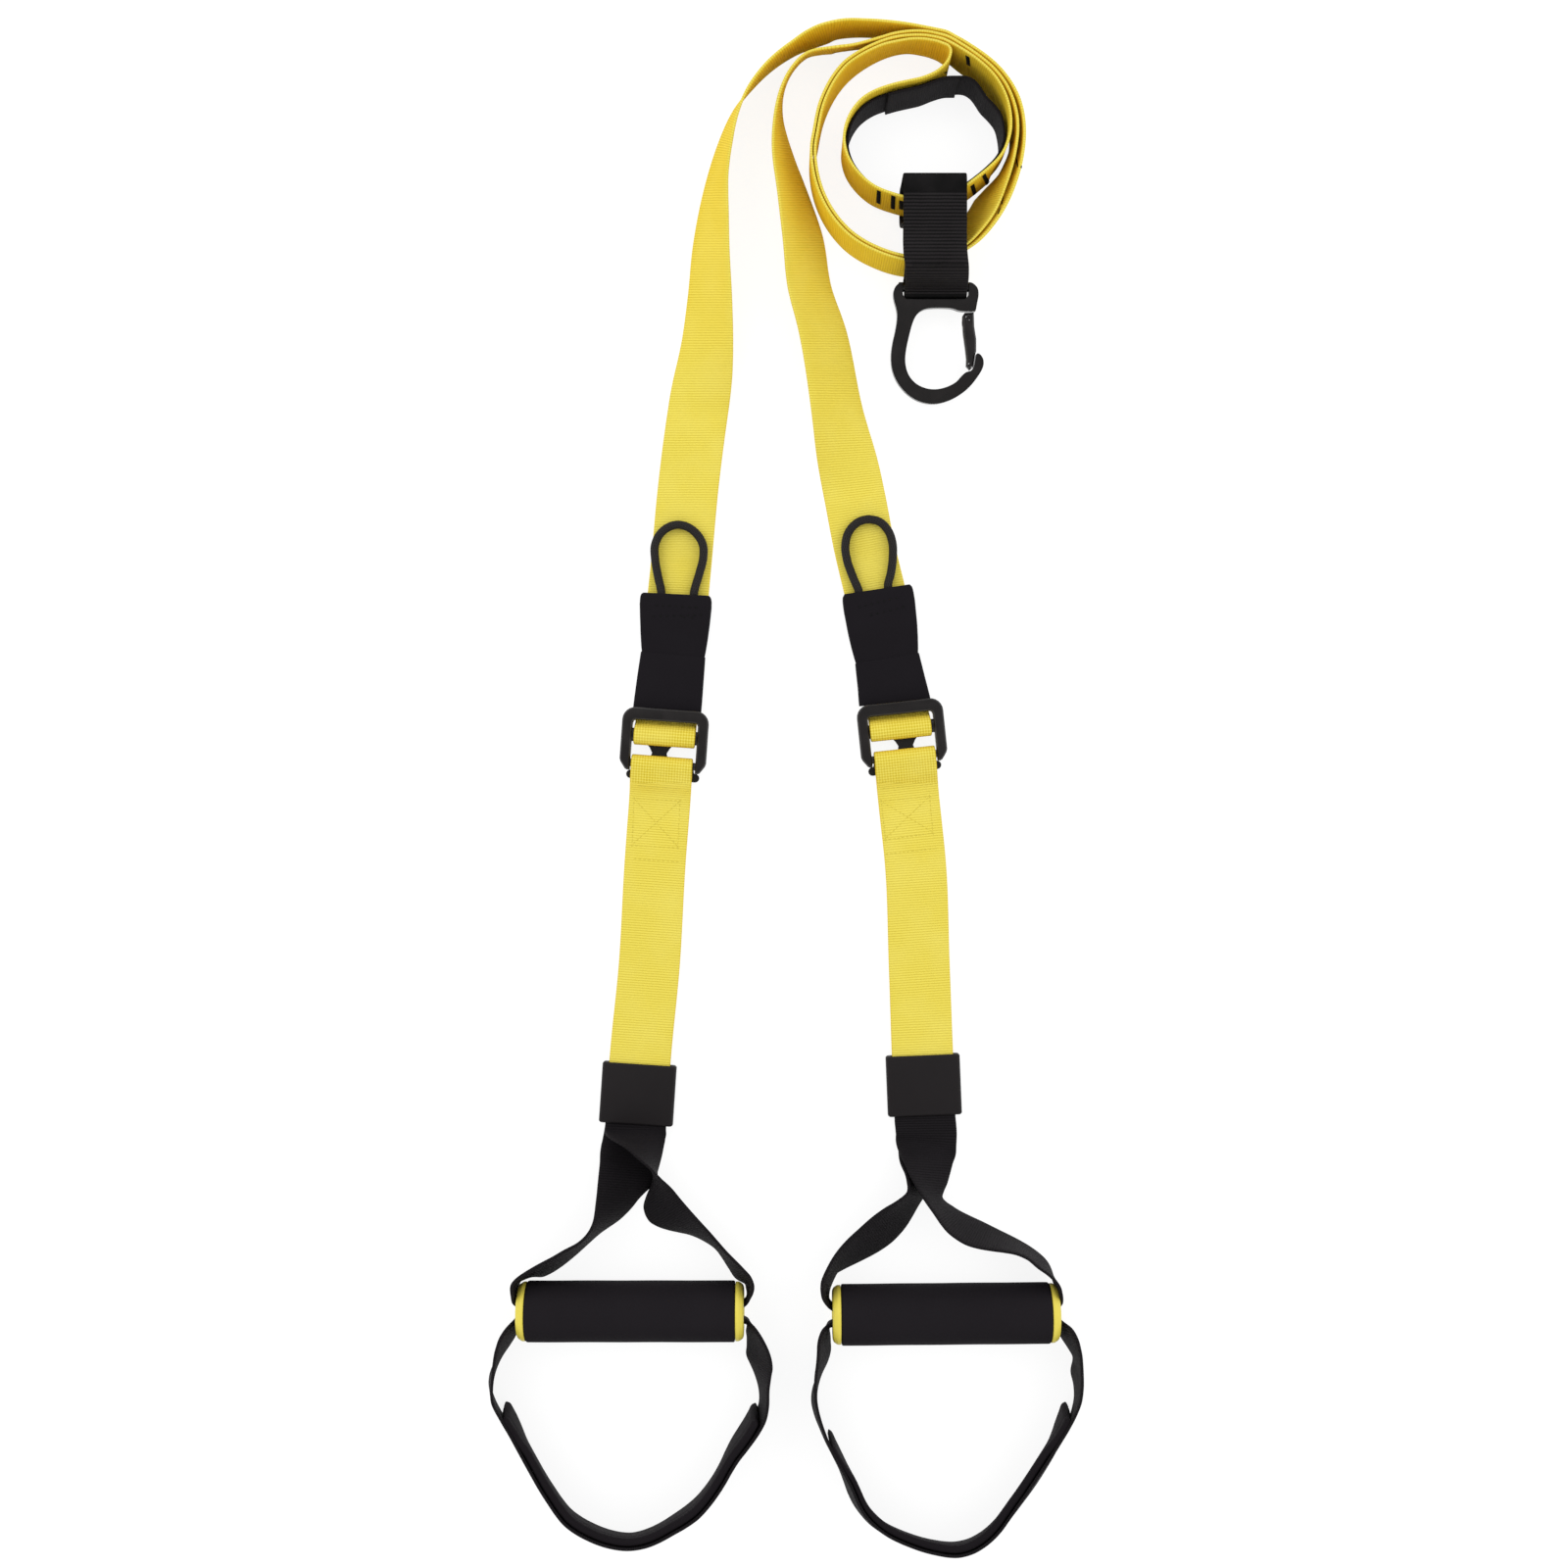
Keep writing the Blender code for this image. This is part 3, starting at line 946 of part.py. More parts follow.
def sling_profile():
    """Centre line of the sling in (y, z): round the bar, over the stored pair, round the ring."""
    thick = WEB_THICKNESS
    half = thick / 2
    strap = main_strap_route()[0]
    outer, inner = reach_in_sling(strap, SLING_PAIR_PX[0], SLING_PAIR_PX[1])
    ring_out = reach_in_sling(strap, SLING_RING_PX[0], SLING_RING_PX[1])[0]
    ring_in = reach_in_sling(lining_route(), SLING_RING_PX[0], SLING_RING_PX[1])[1]
    bar_y = bar_place().origin[1]
    bar_z = CARABINER_BAR_HEIGHT
    loop = CARABINER_BAR_RADIUS + 2 * GAP + half
    eye_in = max(at((950, 178), STRAP_WIDTH)[1] - half, ring_in + GAP + half)
    top = STRAP_WIDTH
    lower = top + GAP + half
    upper = lower + WEB_THICKNESS + LAYER_GAP
    points = []
    for step in range(10):
        turn = math.radians(112 + 240 * step / 9)
        points.append((bar_y + loop * math.cos(turn), bar_z + loop * math.sin(turn)))
    points += [(bar_y + loop + 0.22 * thick, top * 0.48), (outer - 1.44 * thick, top * 0.74),
               (outer - 0.83 * thick, top * 0.95), (outer - 0.50 * thick, lower - 0.28 * thick),
               (outer + 0.11 * thick, lower), (outer + 1.39 * thick, lower), ((outer + inner) / 2, lower),
               (inner - 1.11 * thick, lower), (inner + 0.11 * thick, lower),
               (inner + 0.61 * thick, lower - 0.44 * thick),
               (inner + 1.11 * thick, top * 0.9),
               (inner * 0.55 + ring_out * 0.45, top * 0.55), (ring_out - 2.89 * thick, top * 0.12),
               (ring_out - 1.11 * thick, half + 0.28 * thick), (ring_out + 0.83 * thick, half + GAP / 3),
               (eye_in - 2.50 * thick, half + GAP / 3), (eye_in - 0.72 * thick, half + 0.44 * thick),
               (eye_in - 0.06 * thick, half + 1.78 * thick), (eye_in, top * 0.5), (eye_in, top * 0.94),
               (eye_in - 0.33 * thick, upper - 0.39 * thick), (eye_in - 1.44 * thick, upper + 0.22 * thick),
               (ring_out + 1.11 * thick, upper + half), ((inner + ring_out) / 2, upper + half),
               (inner, upper + GAP), ((outer + inner) / 2, upper + GAP), (outer + 0.56 * thick, upper),
               (outer - 0.89 * thick, upper - 0.44 * thick), (outer - 2.22 * thick, top * 0.99),
               (outer - 3.67 * thick, top * 0.83)]
    return points


def anchor_sling():
    """The sling drifts a little to the right on its way down from the ring to the bar."""
    ring_x = at(((922 + 985.5) / 2, 178), STRAP_WIDTH)[0]
    bar_x = at(((923 + 986) / 2, 300), CARABINER_BAR_HEIGHT)[0]
    pair_y = at((955, 265.5), STRAP_WIDTH)[1]
    bar_y = bar_place().origin[1]
    rows = []
    for y, z in sling_profile():
        x = float(np.interp(y, [bar_y, pair_y + STRAND_PITCH * 2], [bar_x, ring_x]))
        rows.append(station((x, y, z), (1, 0, 0), SLING_WIDTH, WEB_THICKNESS))
    route = grounded(smooth_route(rows, closed=True), closed=True)
    return sweep("anchor_sling", route, web_black(), closed=True, smooth_deg=60)


# Carabiner, in a plane that tilts from the sling down to the floor

CARABINER_BAR_PX = (953.5, 293)
CARABINER_TIP_PX = 410.5
CARABINER_BODY_PX = [
    (920.5, 288.5), (986.5, 288.5), (993, 290.5), (997, 294.5), (998, 301), (996.5, 309),
    (994.5, 317.5), (978.5, 317.5), (973, 315), (966, 314), (950, 314), (942, 315.5),
    (935.5, 320), (931, 329), (927.5, 343), (924.5, 357), (923.8, 369), (927, 380.5), (934, 389),
    (944, 394.2), (956, 395.6), (968, 392.6), (977, 387.5), (981.5, 382), (986, 377.8), (991.5, 376.8),
    (994.3, 373), (995.5, 365), (996.5, 358.5), (1001, 360.5), (1004, 366), (1003.6, 373),
    (999.5, 380.5), (991, 392), (981, 400.5), (968, 407.3), (953, 410.5), (938, 407.5),
    (926, 400), (916.5, 389), (911, 377), (909.4, 364), (910.8, 350), (914, 337), (916, 323),
    (915, 315), (912.3, 307), (911.3, 299), (913.5, 293)]
CARABINER_NOTCH_PX = [(921, 284), (988, 284), (988, 300.5), (984, 305.5), (925, 305.5),
                      (921, 300.5)]
GATE_PX = [
    (982.3, 321.8), (984.3, 318.9), (993.4, 318.6), (994, 332), (996.2, 345), (996.4, 357), (995, 362),
    (993.6, 372.4),
    (990, 376), (986.4, 372), (986.6, 365), (985.2, 354), (983, 340), (982, 328)]
GATE_SLOT_PX = [(976, 316), (1000, 316), (1000, 337), (976, 330)]
GATE_CHANNEL_PX = [(986.2, 328), (991.8, 328), (993.4, 360.5), (989.4, 360.5)]
GATE_TONGUE_PX = [(981.5, 314), (993.5, 314), (993.2, 324), (991, 328.5), (987.5, 329.5),
                  (984, 328.5), (982, 324)]
GATE_PIN_PX = (987.6, 324)
CATCH_PIN_PX = (990.6, 371)
GATE_SPRING_PX = [(988.5, 331.2), (988.8, 336), (989.6, 344), (990.6, 352), (991.4, 358)]


def carabiner_scale():
    return (CAMERA_HEIGHT - CARABINER_BAR_HEIGHT / 2) / PHOTO_FOCAL_PX


def carabiner_spot(pixel):
    """Position in the carabiner's own plane, from its bar: u to the right, v towards the sling."""
    scale = carabiner_scale()
    return ((pixel[0] - CARABINER_BAR_PX[0]) * scale, (CARABINER_BAR_PX[1] - pixel[1]) * scale)


def carabiner_outline(pixels):
    return [carabiner_spot(pixel) for pixel in pixels]


def bar_place():
    return Place(CARABINER_BAR_PX, 0.0, CARABINER_BAR_HEIGHT)


def carabiner_tilt():
    reach = (CARABINER_TIP_PX - CARABINER_BAR_PX[1]) * carabiner_scale() - CARABINER_CHAMFER
    return math.asin((CARABINER_BAR_HEIGHT - CARABINER_THICKNESS / 2) / reach)


def tilt_matrix():
    place = bar_place()
    spot = Vector((place.origin[0], place.origin[1], CARABINER_BAR_HEIGHT))
    return Matrix.Translation(spot) @ Matrix.Rotation(carabiner_tilt(), 4, "X")


def tilt_carabiner(piece):
    """Bring a piece from the carabiner's plane to its place, with the tip on the floor."""
    piece.matrix_world = tilt_matrix()
    return piece


def carabiner_plate(name, pixels, thickness, chamfer=0.0, cutter=False):
    mesh = plate_mesh(name, carabiner_outline(pixels), thickness, chamfer)
    return tilt_carabiner(add_object(name, mesh, metal_black(), 30, cutter))


def carabiner_pin(name, pixel, radius, length, surface, cutter=False):
    mesh = rod_mesh(name, radius, length, along="Z")
    u, v = carabiner_spot(pixel)
    mesh.transform(Matrix.Translation((u, v, 0)))
    return tilt_carabiner(add_object(name, mesh, surface, 30, cutter))


def carabiner():
    overrun = CARABINER_THICKNESS
    slot_width = GATE_THICKNESS - 2 * GATE_WALL
    body = carabiner_plate("carabiner_body", CARABINER_BODY_PX, CARABINER_THICKNESS, CARABINER_CHAMFER)
    notch = carabiner_plate("slot_guide", CARABINER_NOTCH_PX, CARABINER_THICKNESS + overrun, cutter=True)
    boolean(body, notch, "DIFFERENCE")
    bar_length = (CARABINER_NOTCH_PX[1][0] - CARABINER_NOTCH_PX[0][0] + 8) * carabiner_scale()
    bar = add_object("bar_guide", rod_mesh("bar_guide", CARABINER_BAR_RADIUS, bar_length), metal_black(), 30)
    boolean(body, tilt_carabiner(bar), "UNION")
    tongue = carabiner_plate("tongue_guide", GATE_TONGUE_PX, slot_width - 2 * GAP, cutter=True)
    boolean(body, tongue, "UNION")
    bore = carabiner_pin("tongue_bore_guide", GATE_PIN_PX, GATE_PIN_RADIUS + GAP, overrun, steel(), True)
    boolean(body, bore, "DIFFERENCE")
    gate = carabiner_plate("carabiner_gate", GATE_PX, GATE_THICKNESS, GATE_CHAMFER)
    slot = carabiner_plate("gate_slot_guide", GATE_SLOT_PX, slot_width, cutter=True)
    boolean(gate, slot, "DIFFERENCE")
    channel = carabiner_plate("channel_guide", GATE_CHANNEL_PX, slot_width, cutter=True)
    boolean(gate, channel, "DIFFERENCE")
    for title, pixel in (("gate_bore_guide", GATE_PIN_PX), ("catch_bore_guide", CATCH_PIN_PX)):
        gate_bore = carabiner_pin(title, pixel, GATE_PIN_RADIUS + GAP, overrun, steel(), True)
        boolean(gate, gate_bore, "DIFFERENCE")
    carabiner_pin("gate_pin", GATE_PIN_PX, GATE_PIN_RADIUS, GATE_THICKNESS, steel())
    carabiner_pin("catch_pin", CATCH_PIN_PX, GATE_PIN_RADIUS, GATE_THICKNESS, steel())
    spots = [(*carabiner_spot(pixel), 0) for pixel in GATE_SPRING_PX]
    tilt_carabiner(wire("gate_spring", spots, GATE_SPRING_WIRE, steel()))


# Buckle

def frame_outline():
    """A U: top bar and two side arms that taper to their feet, open at the bottom."""
    half = FRAME_WIDTH / 2
    inner = half - FRAME_SIDE_BAR
    top = FRAME_TOP_REACH
    bar_foot = FRAME_TOP_REACH - FRAME_TOP_BAR
    foot = -FRAME_BOTTOM_REACH
    radius = FRAME_CORNER_RADIUS
    fillet = FRAME_SIDE_BAR * 0.3
    outline = []
    for step in range(7):
        turn = math.radians(90 * step / 6)
        outline.append((half - radius + radius * math.cos(turn), top - radius + radius * math.sin(turn)))
    outline += [(-x, y) for x, y in reversed(outline)]
    arm = [(-half, foot * 0.72), (-half + fillet * 0.35, foot * 0.80),
           (-half + fillet * 1.2, foot * 0.90), (-half + fillet * 1.9, foot * 0.975),
           (-half + fillet * 2.5, foot), (-inner - fillet * 0.15, foot), (-inner, foot * 0.98)]
    arm += [(-inner, bar_foot - fillet), (-inner + fillet * 0.3, bar_foot - fillet * 0.3),
            (-inner + fillet, bar_foot)]
    return outline + arm + [(-x, y) for x, y in reversed(arm)]


def set_in_buckle(piece, side, v=0.0, z=0.0):
    piece.matrix_world = buckle_place(side).matrix() @ Matrix.Translation((0, v, z))
    return piece


def buckle_guide(name, mesh, side, v, z, cutter=False):
    return set_in_buckle(add_object(name, mesh, metal_black(), 30, cutter), side, v, z)


def buckle_frame(name, side):
    mesh = plate_mesh(f"{name}_buckle_frame", frame_outline(), FRAME_THICKNESS, FRAME_CHAMFER)
    body = buckle_guide(f"{name}_buckle_frame", mesh, side, 0, FRAME_HEIGHT)
    inner = FRAME_WIDTH / 2 - FRAME_SIDE_BAR
    bar_length = 2 * inner + FRAME_SIDE_BAR
    title = f"{name}_middle_bar_guide"
    middle = rod_mesh(title, MIDDLE_BAR_HALF_LENGTH, bar_length, 20, half_height=MIDDLE_BAR_HALF_HEIGHT)
    boolean(body, buckle_guide(title, middle, side, -MIDDLE_BAR_DROP, FRAME_HEIGHT), "UNION")
    title = f"{name}_bottom_bar_guide"
    bottom = rod_mesh(title, BOTTOM_BAR_RADIUS, bar_length, 16)
    boolean(body, buckle_guide(title, bottom, side, -BOTTOM_BAR_DROP, FRAME_HEIGHT), "UNION")
    relief_half = inner - GAP / 3
    relief = rounded_rectangle((-relief_half, FRAME_TOP_REACH - FRAME_TOP_BAR - FRAME_CHAMFER),
                               (relief_half, FRAME_TOP_REACH + FRAME_CHAMFER), (GAP,) * 4, 1)
    title = f"{name}_relief_guide"
    relief_cut = buckle_guide(title, plate_mesh(title, relief, FRAME_THICKNESS), side, 0,
                              STRAP_TUNNEL_TOP - FRAME_THICKNESS / 2, True)
    boolean(body, relief_cut, "DIFFERENCE")
    cheek_height = FRAME_HEIGHT - CHEEK_FLOOR_CLEARANCE
    for end, sign in (("left", -1), ("right", 1)):
        low = inner + GAP * 2
        high = low + CHEEK_WIDTH
        cheek = rounded_rectangle((min(sign * low, sign * high), CHEEK_BOTTOM),
                                  (max(sign * low, sign * high), CHEEK_TOP), (FRAME_CHAMFER,) * 4, 2)
        title = f"{name}_{end}_cheek_guide"
        boolean(body, buckle_guide(title, plate_mesh(title, cheek, cheek_height, FRAME_CHAMFER / 2), side,
                                   0, CHEEK_FLOOR_CLEARANCE + cheek_height / 2), "UNION")
    title = f"{name}_lever_bore_guide"
    bore = rod_mesh(title, LEVER_PIN_RADIUS + GAP, FRAME_WIDTH, 12)
    boolean(body, buckle_guide(title, bore, side, -LEVER_PIN_DROP, LEVER_PIN_HEIGHT, True), "DIFFERENCE")


def lever_front_outline(shift):
    """From the barrel to the toothed edge, drawn in at the neck that shows between the straps."""
    toothed = LEVER_TOOTHED_HALF_WIDTH
    neck = LEVER_NECK_HALF_WIDTH
    barrel = -LEVER_PIN_DROP
    edge = -MIDDLE_BAR_DROP - GAP
    back = -MIDDLE_BAR_DROP - WRAP_HALF_LENGTH
    middle = back * 0.45 + (-BOTTOM_BAR_DROP + WRAP_HALF_LENGTH) * 0.55
    right = [(toothed, edge), (toothed, edge - neck * 0.6), (shift + neck * 1.95, back + neck * 0.25),
             (shift + neck * 1.35, middle + neck * 0.35), (shift + neck, middle - neck * 0.3),
             (shift + neck * 1.15, barrel + neck * 0.9), (toothed * 0.8, barrel + neck * 0.35),
             (toothed * 0.95, barrel)]
    left = [(2 * shift - x if index not in (0, 1, 6, 7) else -x, y) for index, (x, y) in enumerate(right)]
    return right + left[::-1]


def lever_tab_outline():
    """From the barrel back to the tab, whose rounded ears reach past the strap."""
    ear = LEVER_EAR_RADIUS
    width = LEVER_TAB_HALF_WIDTH
    drop = -LEVER_EAR_DROP
    barrel = -LEVER_PIN_DROP
    right = [(width * 0.80, barrel), (width * 0.84, drop + ear * 1.25)]
    for step in range(7):
        turn = math.radians(100 - 190 * step / 6)
        right.append((width - ear + ear * math.cos(turn), drop + ear * math.sin(turn)))
    right.append((width * 0.55, drop - ear * 0.8))
    return right + [(-x, y) for x, y in reversed(right)]


def cam_lever(name, side):
    shift = side["lever_shift"]
    thickness = LEVER_PLATE_THICKNESS
    title = f"{name}_cam_lever"
    front = plate_mesh(title, lever_front_outline(shift), thickness, thickness * 0.2)
    front.transform(Matrix.Translation((0, LEVER_PIN_DROP, LEVER_PLATE_HEIGHT - LEVER_PIN_HEIGHT)))
    body = buckle_guide(title, front, side, -LEVER_PIN_DROP, LEVER_PIN_HEIGHT)
    title = f"{name}_lever_tab_guide"
    tab = plate_mesh(title, lever_tab_outline(), LEVER_TAB_THICKNESS, LEVER_TAB_THICKNESS * 0.2)
    boolean(body, buckle_guide(title, tab, side, 0, LEVER_TAB_HEIGHT), "UNION")
    title = f"{name}_lever_barrel_guide"
    barrel = rod_mesh(title, LEVER_BARREL_RADIUS, 2 * (FRAME_WIDTH / 2 - FRAME_SIDE_BAR - GAP), 16)
    boolean(body, buckle_guide(title, barrel, side, -LEVER_PIN_DROP, LEVER_PIN_HEIGHT), "UNION")
    title = f"{name}_lever_teeth_guide"
    teeth_top = FRAME_HEIGHT - WRAP_HALF_HEIGHT - STRAP_THICKNESS / 2 - GAP
    teeth_height = teeth_top - LEVER_PLATE_HEIGHT
    ridge = LEVER_TOOTHED_HALF_WIDTH * 0.97
    row = rounded_rectangle((-ridge, -MIDDLE_BAR_DROP - thickness * 1.4),
                            (ridge, -MIDDLE_BAR_DROP - thickness * 0.3), (GAP,) * 4, 2)
    teeth = plate_mesh(title, row, teeth_height, GAP)
    boolean(body, buckle_guide(title, teeth, side, 0, LEVER_PLATE_HEIGHT + teeth_height / 2), "UNION")
    title = f"{name}_spring_notch_guide"
    notch_half = lever_spring_half() + GAP
    notch_reach = LEVER_SPRING_RADIUS + LEVER_SPRING_WIRE + 2 * GAP
    notch = rounded_rectangle((LEVER_SPRING_SIDE - notch_half, -notch_reach),
                              (LEVER_SPRING_SIDE + notch_half, notch_reach), (GAP,) * 4, 1)
    boolean(body, buckle_guide(title, plate_mesh(title, notch, LEVER_PIN_HEIGHT * 3), side,
                               -LEVER_PIN_DROP, LEVER_PIN_HEIGHT, True), "DIFFERENCE")
    title = f"{name}_barrel_bore_guide"
    bore = rod_mesh(title, LEVER_PIN_RADIUS + GAP, FRAME_WIDTH, 12)
    boolean(body, buckle_guide(title, bore, side, -LEVER_PIN_DROP, LEVER_PIN_HEIGHT, True), "DIFFERENCE")


def lever_spring_half():
    return LEVER_SPRING_TURNS * LEVER_SPRING_PITCH / 2 + LEVER_SPRING_WIRE


def lever_spring(name, side):
    """Closing spring, wound round the pin in a notch of the barrel."""
    spots = helix_points(LEVER_SPRING_RADIUS, LEVER_SPRING_PITCH, LEVER_SPRING_TURNS, 8)
    spots[:, 0] += LEVER_SPRING_SIDE
    return set_in_buckle(wire(f"{name}_lever_spring", spots, LEVER_SPRING_WIRE, steel()), side,
                         -LEVER_PIN_DROP, LEVER_PIN_HEIGHT)


def lever_pin(name, side):
    title = f"{name}_lever_pin"
    length = 2 * (FRAME_WIDTH / 2 - FRAME_SIDE_BAR + CHEEK_WIDTH)
    return buckle_guide(title, rod_mesh(title, LEVER_PIN_RADIUS, length, 12), side,
                        -LEVER_PIN_DROP, LEVER_PIN_HEIGHT)


# Straps and soft pieces of one side

SLEEVE_SHAPE = [
    (0.0, 0.0, 0.985), (0.08, 0.0, 0.99), (0.30, 0.02, 0.995), (0.46, 0.06, 1.0), (0.485, 0.02, 0.985),
    (0.51, 0.08, 1.005), (0.64, 0.35, 1.02), (0.78, 0.8, 1.035), (0.90, 1.0, 1.045), (1.0, 0.97, 1.05)]


def adjuster_sleeve(name, side):
    """Sewn webbing tube over both strap layers, higher at the top end where it holds the cord."""
    flat_stack = MAIN_HEIGHT + STRAP_THICKNESS / 2 + LAYER_GAP
    cord_stack = flat_stack + CORD_DIAMETER + LAYER_GAP
    outer = []
    inner = []
    for share, bulge, wide in SLEEVE_SHAPE:
        spot, direction = sleeve_at(side, share)
        ceiling = flat_stack + (cord_stack - flat_stack) * bulge
        half = SLEEVE_WIDTH / 2 * wide * (1 + (side["sleeve_flare"] - 1) * max(0.0, 1 - share * 2))
        outline = rounded_rectangle((-half, 0), (half, ceiling + SLEEVE_WALL), (SLEEVE_CORNER,) * 4, 2)
        hollow = rounded_rectangle((SLEEVE_WALL - half, SLEEVE_WALL), (half - SLEEVE_WALL, ceiling),
                                   (SLEEVE_CORNER - SLEEVE_WALL,) * 4, 2)
        outer.append([(*(spot + direction * u), z) for u, z in outline])
        inner.append([(*(spot + direction * u), z) for u, z in hollow])
    return sleeve(f"{name}_adjuster_sleeve", np.array(outer), np.array(inner), web_black())


def pull_cord(name, side):
    """A loop of round cord whose two ends are sewn into the sleeve's upper end."""
    rest = STRAP_THICKNESS + LAYER_GAP + CORD_DIAMETER / 2
    held = MAIN_HEIGHT + STRAP_THICKNESS / 2 + LAYER_GAP / 2 + CORD_DIAMETER / 2
    pixels = side["cord_px"]
    spots = []
    for index, pixel in enumerate(pixels):
        ends = min(index, len(pixels) - 1 - index)
        height = held + (rest + LAYER_GAP - held) * min(1.0, ends / 4)
        spots.append(np.append(at(pixel, height), height))
    down = np.append(sleeve_at(side, 0.8)[0] - sleeve_at(side, 1.0)[0], 0)
    down *= CORD_DIAMETER / np.linalg.norm(down)
    spots = [spots[0] + down * 2, spots[0] + down] + spots + [spots[-1] + down, spots[-1] + down * 2]
    route = smooth_route(np.array(spots), step=CORD_DIAMETER * 1.3, turn_deg=16)
    return wire(f"{name}_pull_cord", route, CORD_DIAMETER / 2, web_black(), 2)


def label_place(side):
    return Place(side["label_px"], side["label_heading"], LABEL_HEIGHT)


STACK_LOW = LABEL_HEIGHT / 2 - STRAP_THICKNESS / 2 - LAYER_GAP / 2
STACK_HIGH = LABEL_HEIGHT / 2 + STRAP_THICKNESS / 2 + LAYER_GAP / 2


def rubber_label(name, side):
    place = label_place(side)
    corner = LABEL_CORNER
    half_slot = STRAP_WIDTH / 2 + LAYER_GAP
    slot_height = STRAP_THICKNESS + LAYER_GAP * 1.6
    half_width = LABEL_WIDTH / 2
    half_height = LABEL_HEIGHT / 2
    outline = rounded_rectangle((-half_width, -half_height), (half_width, half_height), (corner,) * 4, 3)
    hole = rounded_rectangle((-half_slot, -slot_height), (half_slot, slot_height), (LAYER_GAP,) * 4, 3)
    outer = []
    inner = []
    edge = corner * 0.35
    for v, shrink in ((-1, edge), (-1, 0), (1, 0), (1, edge)):
        along = v * (LABEL_LENGTH / 2 - (edge - shrink))
        ring = offset_outline(outline, shrink) if shrink else np.array(outline)
        outer.append([place.point(u, along, half_height + z) for u, z in ring])
        inner.append([place.point(u, along, half_height + z) for u, z in hole])
    return sleeve(f"{name}_rubber_label", np.array(outer), np.array(inner), rubber_black())


def handle_strap(name, side):
    """Two layers from the label, joined by a turn round the buckle's bottom bar."""
    label = label_place(side)
    place = buckle_place(side)
    shift = side["handle_strap_shift"]
    label_across = label.direction(side["across"], 0)
    near = at(side["strap_px"][0], STRAP_THICKNESS)
    bar = place.point(shift, -BOTTOM_BAR_DROP)
    down = near - bar[:2]
    down /= np.linalg.norm(down)
    across = np.array([-down[1], down[0], 0]) * side["across"]

    def row(spot, z, direction):
        return station((spot[0], spot[1], z), direction, STRAP_WIDTH, STRAP_THICKNESS)

    def below(distance, z):
        return row(bar[:2] + down * distance, z, across)

    low = STRAP_THICKNESS * 0.92
    high = low + STRAP_THICKNESS + LAYER_GAP
    layers = []
    for floor, label_z in ((high, STACK_HIGH), (low, STACK_LOW)):
        stretch = [row(label.point(0, GAP * 2), label_z, label_across),
                   row(label.point(0, LABEL_LENGTH * 0.56), label_z, label_across)]
        stretch += [row(at(pixel, floor), floor, across + label_across) for pixel in
                    reversed(side["strap_px"])]
        layers.append(stretch)
    rise = BOTTOM_BAR_RADIUS + LAYER_GAP + STRAP_THICKNESS / 2
    reach = BOTTOM_BAR_RADIUS + 2 * LAYER_GAP + STRAP_THICKNESS / 2
    rows = layers[0]
    rows += [below(BOTTOM_BAR_DROP * 1.9, high), below(BOTTOM_BAR_DROP * 1.35, high * 1.08)]
    rows += [below(BOTTOM_BAR_DROP * 0.93, high * 1.6),
             below(BOTTOM_BAR_DROP * 0.58, high * 2.7), below(BOTTOM_BAR_DROP * 0.27, FRAME_HEIGHT * 1.24)]
    for step in range(9):
        turn = math.radians(100 - 190 * step / 8)
        rows.append(below(-reach * math.cos(turn), FRAME_HEIGHT + rise * math.sin(turn)))
    rows += [below(BOTTOM_BAR_DROP * 0.38, low * 3.9), below(BOTTOM_BAR_DROP * 0.60, low * 3.1),
             below(BOTTOM_BAR_DROP * 0.93, low * 1.7), below(BOTTOM_BAR_DROP * 1.35, low),
             below(BOTTOM_BAR_DROP * 1.9, low)]
    rows += list(reversed(layers[1]))
    return sweep(f"{name}_handle_strap", grounded(smooth_route(rows)), strap_yellow(), smooth_deg=60)


def grip_place(side):
    return Place(side["grip_px"], side["grip_heading"], GRIP_DIAMETER / 2)


def edged(side, end, row):
    """Webbing by its top and low edges at one grip end, in millimetres.

    The values are: past the grip's end face, towards the label and up, for each edge; thickness.
    """
    place = grip_place(side)
    half = GRIP_LENGTH / 2
    past, forward, up, low_past, low_forward, low_up, thickness = (value * MM for value in row)
    top = place.point(end * (half + past), forward, up)
    low = place.point(end * (half + low_past), low_forward, low_up)
    return station((top + low) / 2, top - low, np.linalg.norm(top - low), thickness)


def bundle(side, s, v):
    """Webbing rolled narrow inside the grip's bore."""
    place = grip_place(side)
    return station(place.point(s, v, GRIP_DIAMETER / 2), (0, 0, 1), BUNDLE_WIDTH, BUNDLE_THICKNESS)


